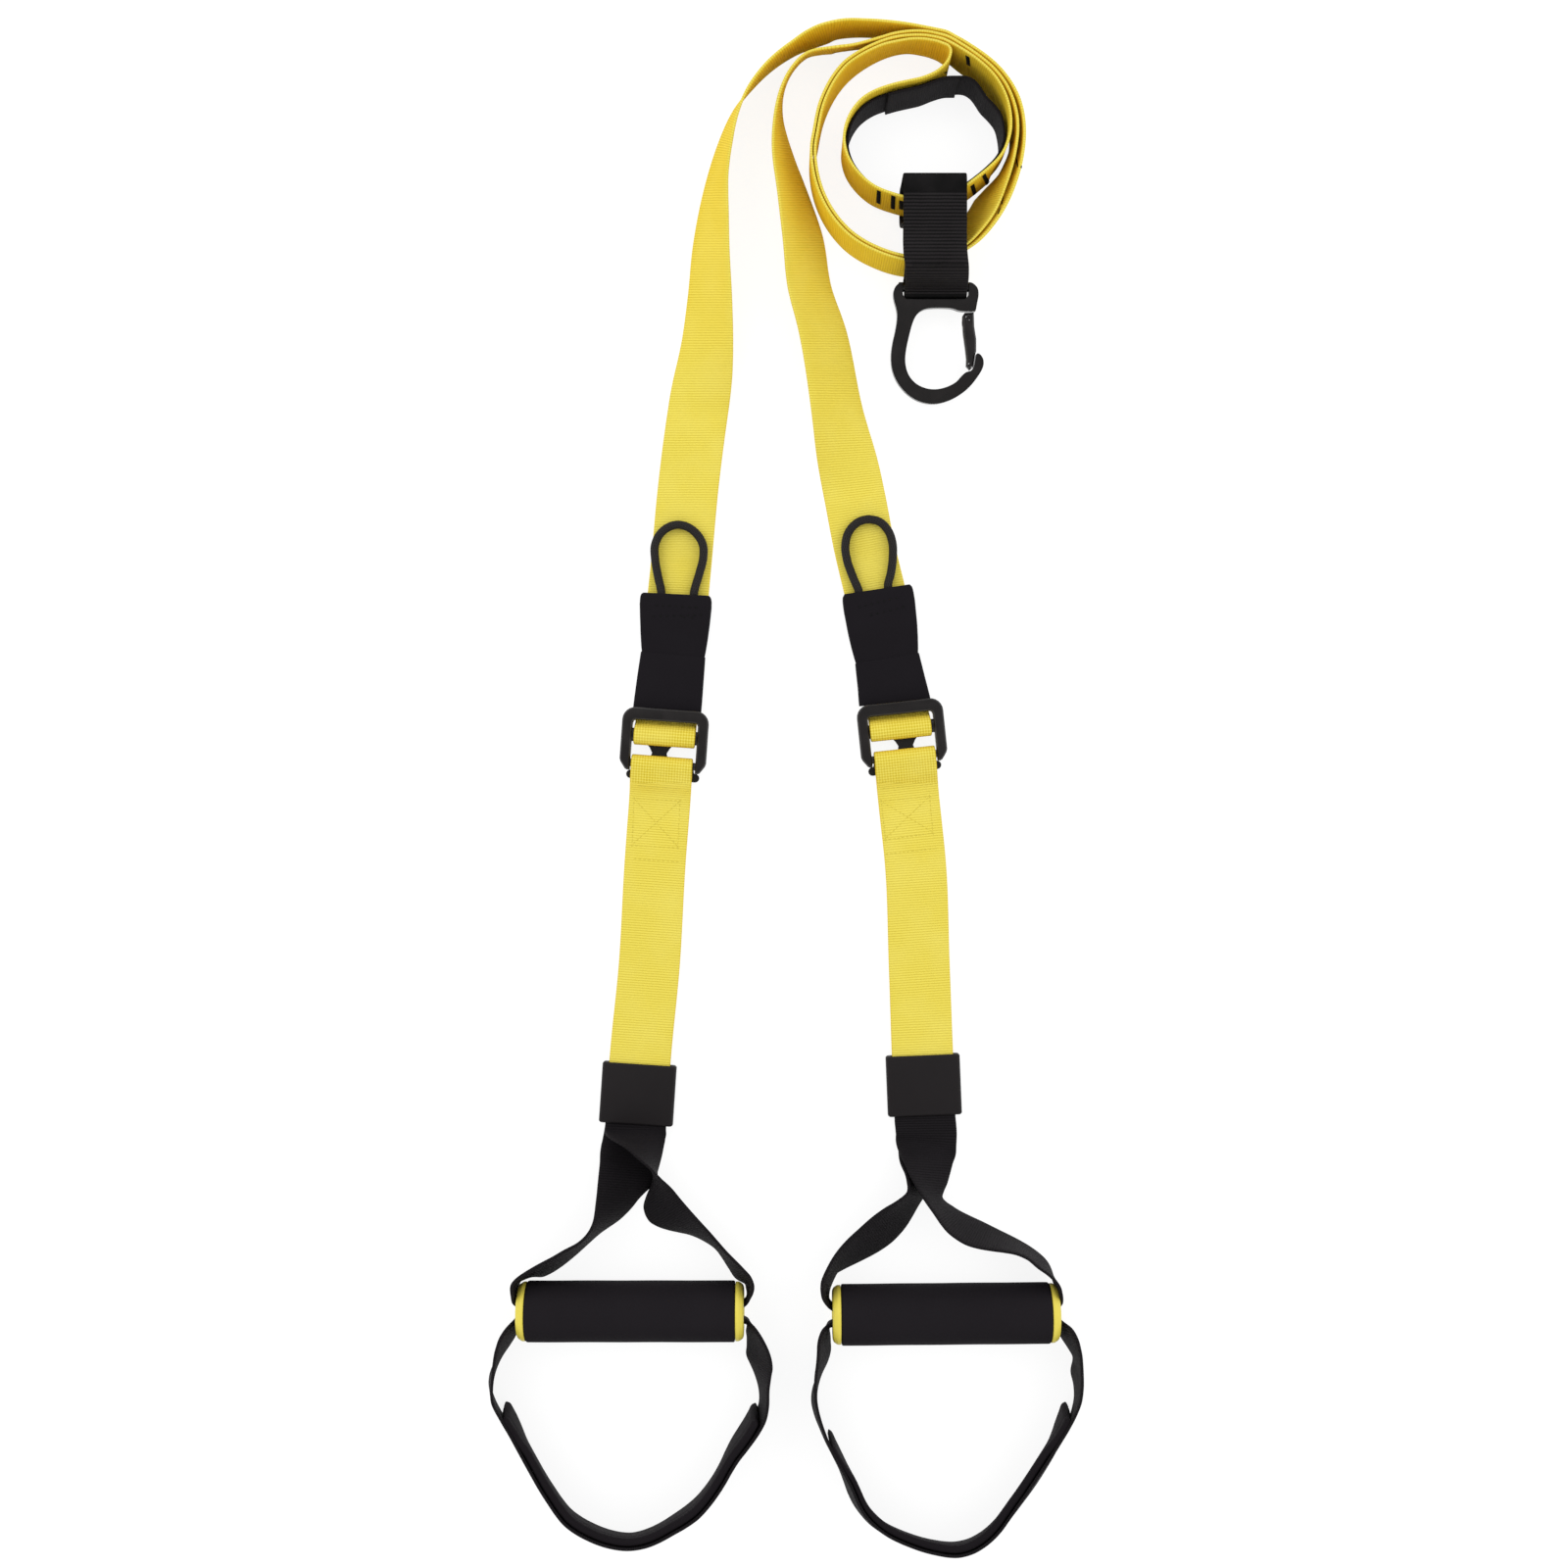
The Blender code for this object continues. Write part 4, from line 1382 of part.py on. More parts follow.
def handle_loop(name, side):
    """Black webbing from the label to one end of the grip, through its bore and back."""
    label = label_place(side)
    half = GRIP_LENGTH / 2
    across = label.direction(-1, 0)
    thick = WEB_THICKNESS
    label_foot = -LABEL_LENGTH / 2

    def in_label(v, z):
        return station(label.point(0, v, z), across, STRAP_WIDTH, thick)

    def strand(pixels, bases):
        bases = list(bases) + [0.0] * (len(pixels) - len(bases))
        rows = []
        for (high, low, *cupped), base in zip(pixels, bases):
            width = STRAP_WIDTH * (cupped[0] if cupped else 1)
            rows.append(seen(high, low, base, width, thick))
        return rows

    front_bases = [(STACK_HIGH - thick / 2) * share for share in (1.0, 0.92, 0.8, 0.6, 0.4, 0.2, 0.1)]
    back_bases = [(STACK_LOW - thick / 2) * share for share in (0.55, 0.10)]
    rows = [in_label(-GAP * 2, STACK_HIGH), in_label(label_foot, STACK_HIGH)]
    rows += strand(side["front_px"], front_bases)
    rows += [edged(side, 1, row) for row in side["loop_end_right"]]
    rows += [bundle(side, s, LOOP_BUNDLE_OFFSET) for s in
             (half - LOOP_BUNDLE_INSET, half * 0.5, 0, -half * 0.5, LOOP_BUNDLE_INSET - half)]
    rows += [edged(side, -1, row) for row in reversed(side["loop_end_left"])]
    rows += list(reversed(strand(side["back_px"], back_bases)))
    rows += [in_label(label_foot, STACK_LOW), in_label(-GAP * 2, STACK_LOW)]
    return sweep(f"{name}_handle_loop", grounded(smooth_route(rows)), web_black(), smooth_deg=60)


def set_on_grip(piece, side, s=0.0, flip=False):
    """Turn a piece from the Z axis onto the grip's axis."""
    turn = Matrix.Rotation(math.radians(-90 if flip else 90), 4, "Y")
    lift = Matrix.Translation((s, 0, GRIP_DIAMETER / 2))
    piece.matrix_world = grip_place(side).matrix() @ lift @ turn
    return piece


def grip(name, side):
    half = GRIP_LENGTH / 2
    foam_half = half - CAP_LENGTH - GAP
    core_outer = CORE_OUTER_DIAMETER / 2
    core_inner = core_outer - CORE_WALL
    foam_inner = core_outer + GAP
    foam_outer = GRIP_DIAMETER / 2
    soft = foam_outer * 0.03
    foam = [(foam_inner, -foam_half), (foam_outer - soft, -foam_half), (foam_outer, -foam_half + soft),
            (foam_outer, foam_half - soft), (foam_outer - soft, foam_half), (foam_inner, foam_half)]
    set_on_grip(turned(f"{name}_grip_foam", foam, 32, foam_black()), side)
    core_half = half - CAP_LENGTH * 0.45
    core = [(core_inner, -core_half), (core_outer, -core_half), (core_outer, core_half),
            (core_inner, core_half)]
    set_on_grip(turned(f"{name}_grip_core", core, 24, rubber_black()), side)
    cap_outer = CAP_DIAMETER / 2
    seat = core_outer + GAP
    mouth = core_inner
    ledge = CAP_LENGTH * 0.45 - GAP
    cap = [(seat, 0), (cap_outer - CAP_LENGTH * 0.08, 0), (cap_outer, CAP_LENGTH * 0.08),
           (cap_outer, CAP_LENGTH * 0.36), (cap_outer - CAP_LENGTH * 0.10, CAP_LENGTH * 0.62),
           (cap_outer - CAP_LENGTH * 0.36, CAP_LENGTH * 0.88), (cap_outer - CAP_LENGTH * 0.8, CAP_LENGTH),
           (mouth + CAP_LENGTH * 0.25, CAP_LENGTH), (mouth, CAP_LENGTH * 0.82),
           (mouth, CAP_LENGTH - ledge), (seat, CAP_LENGTH - ledge)]
    for end, flip in (("right", False), ("left", True)):
        s = (half - CAP_LENGTH) * (-1 if flip else 1)
        set_on_grip(turned(f"{name}_cap_{end}", cap, 24, cap_yellow()), side, s, flip)


def cradle_rows(side):
    """Webbing from inside one cap, round under the foot and into the other cap."""
    half = GRIP_LENGTH / 2
    middle = side["cradle_middle_px"]
    rows = [bundle(side, inset - half, CRADLE_BUNDLE_OFFSET) for inset in CRADLE_BUNDLE_INSETS]
    rows += [edged(side, -1, row) for row in side["cradle_end_left"]]
    for x, y, lean in side["cradle_px"]:
        rows.append(stood((x, y), middle, lean * MM, WEB_THICKNESS))
    rows += [edged(side, 1, row) for row in reversed(side["cradle_end_right"])]
    rows += [bundle(side, half - inset, CRADLE_BUNDLE_OFFSET) for inset in reversed(CRADLE_BUNDLE_INSETS)]
    return rows


def cradle_route(side):
    return grounded(smooth_route(cradle_rows(side)))


def cradle(name, side):
    route = cradle_route(side)
    sweep(f"{name}_cradle_strap", route, web_black(), smooth_deg=60)
    tops = route[:, :3] + frames(route)[1] * route[:, 6:7] / 2
    ends = []
    for pixel in side["pad_ends_px"]:
        spot = at(pixel, STRAP_WIDTH)
        ends.append(int(np.argmin(np.linalg.norm(tops[:, :2] - spot, axis=1))))
    middle = at(side["cradle_middle_px"], STRAP_WIDTH)
    normal = frames(route)[2]
    inward = np.sign(np.sum(normal[:, :2] * (middle - route[:, :2]), axis=1))
    start = side["pad_start_share"]
    along = np.clip((np.arange(len(route)) - ends[0]) / (ends[1] - ends[0]) / PAD_SWELL_SHARE, 0, 1)
    thickness = PAD_THICKNESS * (start + (1 - start) * along * along * (3 - 2 * along))
    gap = WEB_THICKNESS / 2 + LAYER_GAP + thickness / 2
    pad = route.copy()
    pad[:, :3] += normal * (inward * gap)[:, None]
    pad[:, 6] = PAD_HEIGHT
    pad[:, 7] = thickness
    pad = pad[ends[0]:ends[1] + 1]
    foot = pad[:, 2] - PAD_HEIGHT / 2
    pad[:, 2] += np.maximum(0.0, GAP - foot)
    tips = []
    for index, beside in ((0, 1), (-1, -2)):
        step = pad[index, :3] - pad[beside, :3]
        step *= PAD_THICKNESS * 0.4 / np.linalg.norm(step)
        tip = pad[index].copy()
        tip[:3] += step
        tip[6] *= 0.93
        tip[7] *= 0.5
        tips.append(tip)
    pad = np.vstack([tips[0], pad, tips[1]])
    sweep(f"{name}_cradle_pad", pad, foam_black(), squareness=3.2, sides=12, smooth_deg=60)


# Joints and the whole

def joint_spots():
    """Each joint's place in the photograph's frame, its axis and the pieces that it carries."""
    bar = bar_place()
    gate_u, gate_v = carabiner_spot(GATE_PIN_PX)
    gate = tilt_matrix() @ Vector((gate_u, gate_v, 0))
    upright = tilt_matrix().to_3x3() @ Vector((0, 0, 1))
    joints = {
        "carabiner": ((*bar.origin, CARABINER_BAR_HEIGHT), (1, 0, 0), ["carabiner_body", "gate_pin"]),
        "gate": (tuple(gate), tuple(upright), ["carabiner_gate", "catch_pin", "gate_spring"]),
    }
    for name, side in SIDES.items():
        buckle = buckle_place(side)
        hand = grip_place(side)
        lever = buckle.point(0, -LEVER_PIN_DROP, LEVER_PIN_HEIGHT)
        bottom_bar = buckle.point(0, -BOTTOM_BAR_DROP, FRAME_HEIGHT)
        middle = hand.point(0, 0, GRIP_DIAMETER / 2)
        joints[f"{name}_lever"] = (lever, (*buckle.u_axis, 0), [f"{name}_cam_lever"])
        joints[f"{name}_handle"] = (bottom_bar, (*buckle.u_axis, 0),
                                    [f"{name}_handle_strap", f"{name}_rubber_label", f"{name}_handle_loop"])
        joints[f"{name}_grip"] = (middle, (*hand.u_axis, 0),
                                  [f"{name}_grip_foam", f"{name}_grip_core", f"{name}_cap_left",
                                   f"{name}_cap_right"])
        joints[f"{name}_cradle"] = (middle, (*hand.u_axis, 0),
                                    [f"{name}_cradle_strap", f"{name}_cradle_pad"])
    return joints


def joint_empties():
    """An empty on each joint's axis carries the pieces that turn about it."""
    empties = {}
    for name, (spot, axis, pieces) in joint_spots().items():
        empty = bpy.data.objects.new(f"{name}_joint", None)
        bpy.context.scene.collection.objects.link(empty)
        turn = Vector((1, 0, 0)).rotation_difference(Vector(axis))
        empty.matrix_world = Matrix.Translation(Vector(spot)) @ turn.to_matrix().to_4x4()
        empty.empty_display_size = STRAP_WIDTH
        for piece in pieces:
            child = bpy.data.objects[piece]
            child.parent = empty
            child.matrix_parent_inverse = empty.matrix_world.inverted()
        empties[name] = (empty, axis)
    return empties


def stand_on_origin():
    """Move everything so that the middle of the underside of the bounding box is the origin."""
    bpy.context.view_layer.update()
    graph = bpy.context.evaluated_depsgraph_get()
    corners = []
    for piece in bpy.data.objects:
        if piece.hide_render or piece.type == "EMPTY":
            continue
        evaluated = piece.evaluated_get(graph)
        mesh = evaluated.to_mesh()
        points = np.array([piece.matrix_world @ vertex.co for vertex in mesh.vertices])
        evaluated.to_mesh_clear()
        corners += [points.min(axis=0), points.max(axis=0)]
    low = np.min(corners, axis=0)
    high = np.max(corners, axis=0)
    shift = Vector((-(low[0] + high[0]) / 2, -(low[1] + high[1]) / 2, -low[2]))
    for piece in bpy.data.objects:
        if piece.parent is None:
            piece.location += shift
    print(f"moved by {shift.x:.5f}, {shift.y:.5f}, {shift.z:.5f}")
    return shift


def main():
    for old in list(bpy.data.objects):
        bpy.data.objects.remove(old, do_unlink=True)
    main_strap()
    anchor_lining()
    lining_hem()
    anchor_sling()
    carabiner()
    for name, side in SIDES.items():
        adjuster_sleeve(name, side)
        pull_cord(name, side)
        buckle_frame(name, side)
        cam_lever(name, side)
        lever_pin(name, side)
        lever_spring(name, side)
        handle_strap(name, side)
        rubber_label(name, side)
        handle_loop(name, side)
        grip(name, side)
        cradle(name, side)
    empties = joint_empties()
    shift = stand_on_origin()
    for name, (empty, axis) in empties.items():
        spot = empty.location
        print(f"{name} joint at {spot.x:.5f}, {spot.y:.5f}, {spot.z:.5f} along "
              f"{axis[0]:.5f}, {axis[1]:.5f}, {axis[2]:.5f}")
    return shift


main()
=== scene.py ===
# %% [markdown]
# # A suspension trainer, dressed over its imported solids
#
# Almost everything on a suspension trainer is woven strap. A cloth simulation could lay it out, but
# it wouldn't land on the photographed bends. This lesson reads the line of each strap from its
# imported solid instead, and carries a finer section with rounded edges along that line. Metal, rubber
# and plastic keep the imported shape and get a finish.

import itertools
import json
import math

import bmesh
import bpy
import numpy as np
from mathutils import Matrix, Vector
from mathutils.bvhtree import BVHTree


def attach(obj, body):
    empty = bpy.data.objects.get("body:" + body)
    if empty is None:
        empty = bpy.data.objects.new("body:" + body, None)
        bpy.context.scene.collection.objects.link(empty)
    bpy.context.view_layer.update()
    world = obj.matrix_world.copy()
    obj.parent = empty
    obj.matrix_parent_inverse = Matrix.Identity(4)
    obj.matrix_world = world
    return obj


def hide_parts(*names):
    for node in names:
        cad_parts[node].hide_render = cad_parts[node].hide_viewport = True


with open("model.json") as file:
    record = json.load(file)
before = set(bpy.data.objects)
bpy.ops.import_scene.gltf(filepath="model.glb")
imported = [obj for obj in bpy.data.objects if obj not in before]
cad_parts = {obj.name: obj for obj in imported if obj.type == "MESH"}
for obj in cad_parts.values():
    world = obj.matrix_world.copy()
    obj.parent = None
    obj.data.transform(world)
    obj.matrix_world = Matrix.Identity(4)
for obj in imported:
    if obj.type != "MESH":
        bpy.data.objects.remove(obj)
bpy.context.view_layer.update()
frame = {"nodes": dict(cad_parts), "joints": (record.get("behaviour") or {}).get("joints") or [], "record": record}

SIDES = ("left", "right")

# %% [markdown]
# ## The camera
#
# The trainer was photographed from straight above. A camera 1.2 m up whose focal length is 1959 of
# the picture's 1600 pixels gives the same perspective. It also works the other way round: a point
# seen at a pixel can be placed as soon as its height is known, and many pieces are placed like that.

# %% Camera and the way from a pixel to a place
PICTURE_PX = 1600
CENTRE_PX = PICTURE_PX / 2
FOCAL_PX = 1959
CAMERA_HEIGHT = 1.2
CAMERA_X = 0.00092
CAMERA_Y = 0.00642
SENSOR_MM = 36

lens = bpy.data.cameras.new("camera")
lens.sensor_width = SENSOR_MM
lens.lens = SENSOR_MM * FOCAL_PX / PICTURE_PX
lens.clip_end = 20
camera = bpy.data.objects.new("camera", lens)
camera.location = (CAMERA_X, CAMERA_Y, CAMERA_HEIGHT)
bpy.context.scene.collection.objects.link(camera)
bpy.context.scene.camera = camera
print(f"camera with a {lens.lens:.1f} mm lens, {CAMERA_HEIGHT / FOCAL_PX * 1000:.4f} mm to a pixel")


def seen(px, py, height=0.0):
    """The point at a height that shows at a pixel: x = (px - centre) / focal * (camera height - z)."""
    scale = (CAMERA_HEIGHT - height) / FOCAL_PX
    return np.array([CAMERA_X + (px - CENTRE_PX) * scale, CAMERA_Y - (py - CENTRE_PX) * scale, height])


# %% [markdown]
# ## The lamps
#
# A catalogue picture has even light with hardly any shadow. Two large, weak area lamps add a little
# shape to what a pale sky gives. Small lamps would draw hard shadows that the photograph lacks.

# %% Lamps
LAMP_WATTS = 10.0
LAMP_SIZE = 1.4
LAMPS = {"lamp_left": ((-1.3, 0.9, 1.5), 1.0), "lamp_right": ((1.4, 0.5, 1.4), 0.7)}

scene = bpy.context.scene
scene.view_settings.view_transform = "Standard"

for lamp_name, (place, share) in LAMPS.items():
    light = bpy.data.lights.new(lamp_name, "AREA")
    light.energy = LAMP_WATTS * share
    light.size = LAMP_SIZE
    lamp = bpy.data.objects.new(lamp_name, light)
    lamp.location = place
    towards = -np.array(place) / np.linalg.norm(place)
    lamp.rotation_euler = (math.acos(-towards[2]), 0, math.atan2(towards[1], towards[0]) - math.pi / 2)
    scene.collection.objects.link(lamp)
    print(f"{lamp_name}: {light.energy:.0f} W, turned to the middle of the trainer")

# %% [markdown]
# ## Shader maths as plain expressions
#
# Patterns are made of Math nodes, and a dozen of them placed one by one are hard to read. A small
# class wraps a node's socket instead, so that `mask * 2 - 1` adds the nodes by itself. A second
# class makes any other node from its type, its settings and its inputs.

# %% Sockets that understand arithmetic


class Wire:
    """A socket whose + - * / and powers add Math nodes."""

    def __init__(self, finish, socket):
        self.finish = finish
        self.socket = socket

    def maths(self, operation, *others):
        inputs = {0: self, **dict(enumerate(others, 1))}
        return self.finish.node("ShaderNodeMath", {"operation": operation}, inputs)

    def __add__(self, other):
        return self.maths("ADD", other)

    __radd__ = __add__

    def __sub__(self, other):
        return self.maths("SUBTRACT", other)

    def __rsub__(self, other):
        return self.finish.node("ShaderNodeMath", {"operation": "SUBTRACT"}, {0: other, 1: self})

    def __mul__(self, other):
        return self.maths("MULTIPLY", other)

    __rmul__ = __mul__

    def __truediv__(self, other):
        return self.maths("DIVIDE", other)

    def __pow__(self, other):
        return self.maths("POWER", other)

    def sine(self):
        return self.maths("SINE")

    def floor(self):
        return self.maths("FLOOR")

    def size(self):
        return self.maths("ABSOLUTE")

    def over(self, limit):
        return self.maths("GREATER_THAN", limit)

    def clipped(self):
        return self.maths("MINIMUM", 1.0).maths("MAXIMUM", 0.0)

    def sibling(self, index):
        """Another output of the same node."""
        return Wire(self.finish, self.socket.node.outputs[index])


# %% [markdown]
# ## A finish is a tree of nodes
#
# Each real surface becomes one material. Plain numbers are written on the shader's own sockets, and
# only what changes over the surface is linked to them. The sky is a tree of nodes too, so the
# methods that place nodes stand in a class of their own.

# %% Node trees


class Tree:
    """A node tree that is filled node by node."""

    def __init__(self, node_tree):
        self.nodes = node_tree.nodes
        self.links = node_tree.links

    def node(self, kind, settings=None, inputs=None, output=0):
        made = self.nodes.new(kind)
        for setting, value in (settings or {}).items():
            setattr(made, setting, value)
        for socket, value in (inputs or {}).items():
            self.feed(made.inputs[socket], value)
        return Wire(self, made.outputs[output])

    def feed(self, socket, value):
        if isinstance(value, Wire):
            self.links.new(value.socket, socket)
        elif socket.type == "RGBA":
            socket.default_value = (*value, 1)
        else:
            socket.default_value = value

    def mix(self, share, one, two, blend="MIX"):
        """The colour (1 - share) * one + share * two, or their product."""
        return self.node("ShaderNodeMix", {"data_type": "RGBA", "blend_type": blend},
                         {0: share, 6: one, 7: two}, output=2)

    def ray(self, kind):
        """1 for rays of a kind, such as Camera or Glossy, and 0 for the rest."""
        return Wire(self, self.node("ShaderNodeLightPath").socket.node.outputs[f"Is {kind} Ray"])

    def parts(self, vector):
        """The x, y and z of a vector."""
        split = self.node("ShaderNodeSeparateXYZ", None, {0: vector})
        return split, split.sibling(1), split.sibling(2)

    def place(self):
        return self.node("ShaderNodeTexCoord", output=3)

    def facing(self):
        return self.node("ShaderNodeTexCoord", output=1)

    def noise(self, scale, detail=2.0):
        return self.node("ShaderNodeTexNoise", None,
                         {"Vector": self.place(), "Scale": scale, "Detail": detail})


# %% [markdown]
# ## A material that starts as one shader
#
# A new material in Blender already holds a Principled shader, linked to the output. Settings could
# be clicked in one by one, but a piece's recipe is easier to compare with another when it is a call
# with a colour, a roughness and whatever else differs from the usual.

# %% Materials


class Finish(Tree):
    """A material with one Principled shader."""

    def __init__(self, name, colour, roughness, metallic=0.0, **sockets):
        self.material = bpy.data.materials.new(name)
        self.material.use_nodes = True
        super().__init__(self.material.node_tree)
        self.shader = self.nodes["Principled BSDF"]
        self.set("Base Color", colour)
        self.set("Roughness", roughness)
        self.set("Metallic", metallic)
        for socket, value in sockets.items():
            self.set(socket.replace("_", " "), value)
        print("finish", name)

    def set(self, socket, value):
        self.feed(self.shader.inputs[socket], value)

    def bump(self, height, distance, strength=1.0):
        self.set("Normal", self.node("ShaderNodeBump", None,
                                     {"Height": height, "Distance": distance, "Strength": strength}))


# %% [markdown]
# ## The weave
#
# Strap webbing shows level ribs across its width, about 1.5 mm apart. Each rib is a row of short warp floats,
# shifted by half a float from the row before. Modelled threads would take millions of faces, so the weave is a
# pattern of sines on the strap's own UV map, which is in metres across and along, and follows every twist. The
# ribs stand in relief, and the grooves between them are painted in shade. Two places differ: the strap is twill
# where it wraps the buckles, and the sling is smooth at its two folds, which are painted in the grooves' shade all
# over.

# %% Webbing
WEAVE_MAP = "weave"
RIB_PITCH = 0.00155
SLING_PITCH = 0.0021
FLOAT_PITCH = 0.00085
TWILL_PITCH = 0.0017
WEB_RELIEF = 0.00028
TWILL_BAND = ((728, 0.0), (799, 0.0))
SLING_RIBS = ((196, 0.042), (299, 0.020))
WANDER_SCALE = 160.0
CLOUD_SCALE = 38.0
FUZZ_SCALE = 2400.0


def within(place_y, band):
    """1 between the upper and the lower (pixel, height) of a band of the picture, and 0 outside."""
    upper, lower = (seen(CENTRE_PX, py, height)[1] for py, height in band)
    return (upper - place_y).over(0.0) * (place_y - lower).over(0.0)


def webbing_finish(name, colours, pitch, contrast, relief, gloss, painted_bounce=None, ribbed=None):
    """Ribs |sin(pi v / pitch)| of floats sin(2 pi u / float pitch + pi row); twill in the buckles.

    Colours are those of the ribs, the grooves' painted shade and worn clouds. A strap that stands on edge sees
    less of the sky and more of its own colour, so its tint is deepened by painted shade and bounce light as 1.06 -
    |normal z|."""
    colour, groove_shade, worn = colours
    finish = Finish(name, colour, 0.8, Specular_IOR_Level=gloss)
    across, along, _ = finish.parts(finish.node("ShaderNodeUVMap", {"uv_map": WEAVE_MAP}))
    along = along + (finish.noise(WANDER_SCALE, 3.0) - 0.5) * (RIB_PITCH * 0.25)
    row = (along / pitch).floor()
    rib = (along * (math.pi / pitch)).sine().size()
    thread = ((across * (math.tau / FLOAT_PITCH)) + row * math.pi).sine() * 0.5 + 0.5
    steps = [(way * (math.pi / TWILL_PITCH)).sine() for way in (across + along, across - along)]
    twill = (steps[0] * steps[1] * 0.9 + 0.5).clipped()
    place_y = finish.parts(finish.place())[1]
    in_buckle = within(place_y, TWILL_BAND)
    height = rib ** 0.55 * (thread * 0.25 + 0.75) * (1 - in_buckle) + twill * in_buckle
    # On the sling, outside the ribbed band, the folds lose their ribs and are painted in the grooves' shade all
    # over.
    if ribbed:
        height = height * within(place_y, ribbed)
    fuzz = finish.noise(FUZZ_SCALE, 2.0)
    shade = (1 - height) * contrast + (fuzz - 0.5) * 0.4
    # Painted shade: the grooves between the ribs and the twill's hollows are mixed towards the darker colour.
    tint = finish.mix(shade.clipped(), colour, groove_shade)
    tint = finish.mix(((finish.noise(CLOUD_SCALE, 3.0) - 0.42) * 0.9).clipped(), tint, worn)
    # Painted shade and bounce light: faces that stand upright, as in the coil, are darkened and turned more
    # orange.
    if painted_bounce:
        level = finish.parts(finish.facing())[2].size()
        tint = finish.mix((1.06 - level).clipped(), tint, finish.mix(1.0, tint, painted_bounce, "MULTIPLY"))
    finish.set("Base Color", tint)
    finish.bump(height + fuzz * 0.2, relief, 0.85)
    return finish.material


# Each list holds the ribs' colour, the grooves' painted shade and the worn clouds' colour.
YELLOWS = [(0.93, 0.80, 0.135), (0.70, 0.54, 0.035), (0.95, 0.84, 0.20)]
BLACKS = [(0.0125, 0.0105, 0.0125), (0.002, 0.0016, 0.002), (0.0170, 0.0145, 0.0170)]
SLING_BLACKS = [(0.0250, 0.0215, 0.0230), (0.0004, 0.0003, 0.0003), (0.0290, 0.0255, 0.0270)]
# Multiplier of the painted shade and yellow bounce light on upright faces.
PAINTED_BOUNCE_SHADE = (1.06, 0.88, 0.30)
YELLOW_WEB = webbing_finish("yellow_webbing", YELLOWS, RIB_PITCH, 0.95, WEB_RELIEF, 0.10,
                            painted_bounce=PAINTED_BOUNCE_SHADE)
BLACK_WEB = webbing_finish("black_webbing", BLACKS, RIB_PITCH, 1.0, WEB_RELIEF * 1.3, 0.12)
SLING_WEB = webbing_finish("sling_webbing", SLING_BLACKS, SLING_PITCH, 2.0, WEB_RELIEF * 3, 0.14,
                           ribbed=SLING_RIBS)

# %% [markdown]
# ## Cord and thread
#
# The pull cords are braided. Their ridges run round both ways, which two sets of diagonal waves
# give, of which the higher one shows. Sewing thread is too thin for that, and a fine noise is enough.

# %% Braid and thread
BRAID_STRANDS = 6
BRAID_PITCH = 0.0034


def cord_finish():
    """A round braid: two sets of diagonal ridges, sin(a + b) and sin(a - b)."""
    finish = Finish("braided_cord", (0.012, 0.011, 0.011), 0.75, Specular_IOR_Level=0.2)
    across, along, _ = finish.parts(finish.node("ShaderNodeUVMap", {"uv_map": WEAVE_MAP}))
    turn = across * (BRAID_STRANDS * math.tau)
    along = along * (math.tau / BRAID_PITCH)
    ridges = ((along + turn).sine().maths("MAXIMUM", (along - turn).sine())) * 0.5 + 0.5
    # Painted shade: the hollows between the ridges are darker and the ridge tops paler.
    finish.set("Base Color", finish.mix(ridges, (0.004, 0.0035, 0.0035), (0.026, 0.023, 0.022)))
    finish.bump(ridges, 0.0003, 0.9)
    return finish.material


def thread_finish(name, colour):
    """A shade that changes with the ply of the thread."""
    finish = Finish(name, colour, 0.7, Specular_IOR_Level=0.2)
    ply = finish.noise(3000.0, 1.0)
    darker = tuple(part * 0.6 for part in colour)
    finish.set("Base Color", finish.mix(ply, darker, colour))
    finish.bump(ply, 0.0001, 0.5)
    return finish.material


CORD = cord_finish()
YELLOW_THREAD = thread_finish("yellow_thread", (0.92, 0.77, 0.105))
BLACK_THREAD = thread_finish("black_thread", (0.002, 0.0018, 0.0018))

# %% [markdown]
# ## Foam, neoprene and sleeve cloth
#
# The grips' foam, the foot pads and the sleeves are matt and soft. Seen from a metre away their
# cells are only a fine grain, so they share one recipe: a fine noise in relief, and slow clouds of
# a paler shade that keep a large black area from looking like plastic.

# %% Soft finishes


def soft_finish(name, dark, pale, cell, relief, gloss):
    """Colour dark + (0.6 cloud + 0.4 cells) (pale - dark), with the cells as relief."""
    finish = Finish(name, dark, 0.88, Specular_IOR_Level=gloss)
    cells = finish.noise(cell, 2.0)
    cloud = finish.noise(45.0, 2.0)
    finish.set("Base Color", finish.mix(cloud * 0.6 + cells * 0.4, dark, pale))
    finish.set("Roughness", cells * 0.2 + 0.75)
    finish.bump(cells, relief, 0.5)
    return finish.material


FOAM = soft_finish("grip_foam", (0.0095, 0.0078, 0.0098), (0.0140, 0.0118, 0.0146), 1500.0, 0.0002, 0.12)
NEOPRENE = soft_finish("cradle_pad", (0.0070, 0.0055, 0.0070), (0.0120, 0.0095, 0.0120), 2600.0, 0.0002, 0.12)
SLEEVE_CLOTH = soft_finish("sleeve_cloth", (0.0082, 0.0068, 0.0088), (0.0120, 0.0102, 0.0128),
                           2200.0, 0.0002, 0.10)

# %% [markdown]
# ## Rubber, plastic and metal
#
# Moulded pieces have a fine grain and drift slowly between duller and shinier. The carabiner and
# the buckles have a satin black coating that is rubbed a little paler here and there. Both could be
# one flat colour, but their highlights would then be too even to look real.

# %% Hard finishes


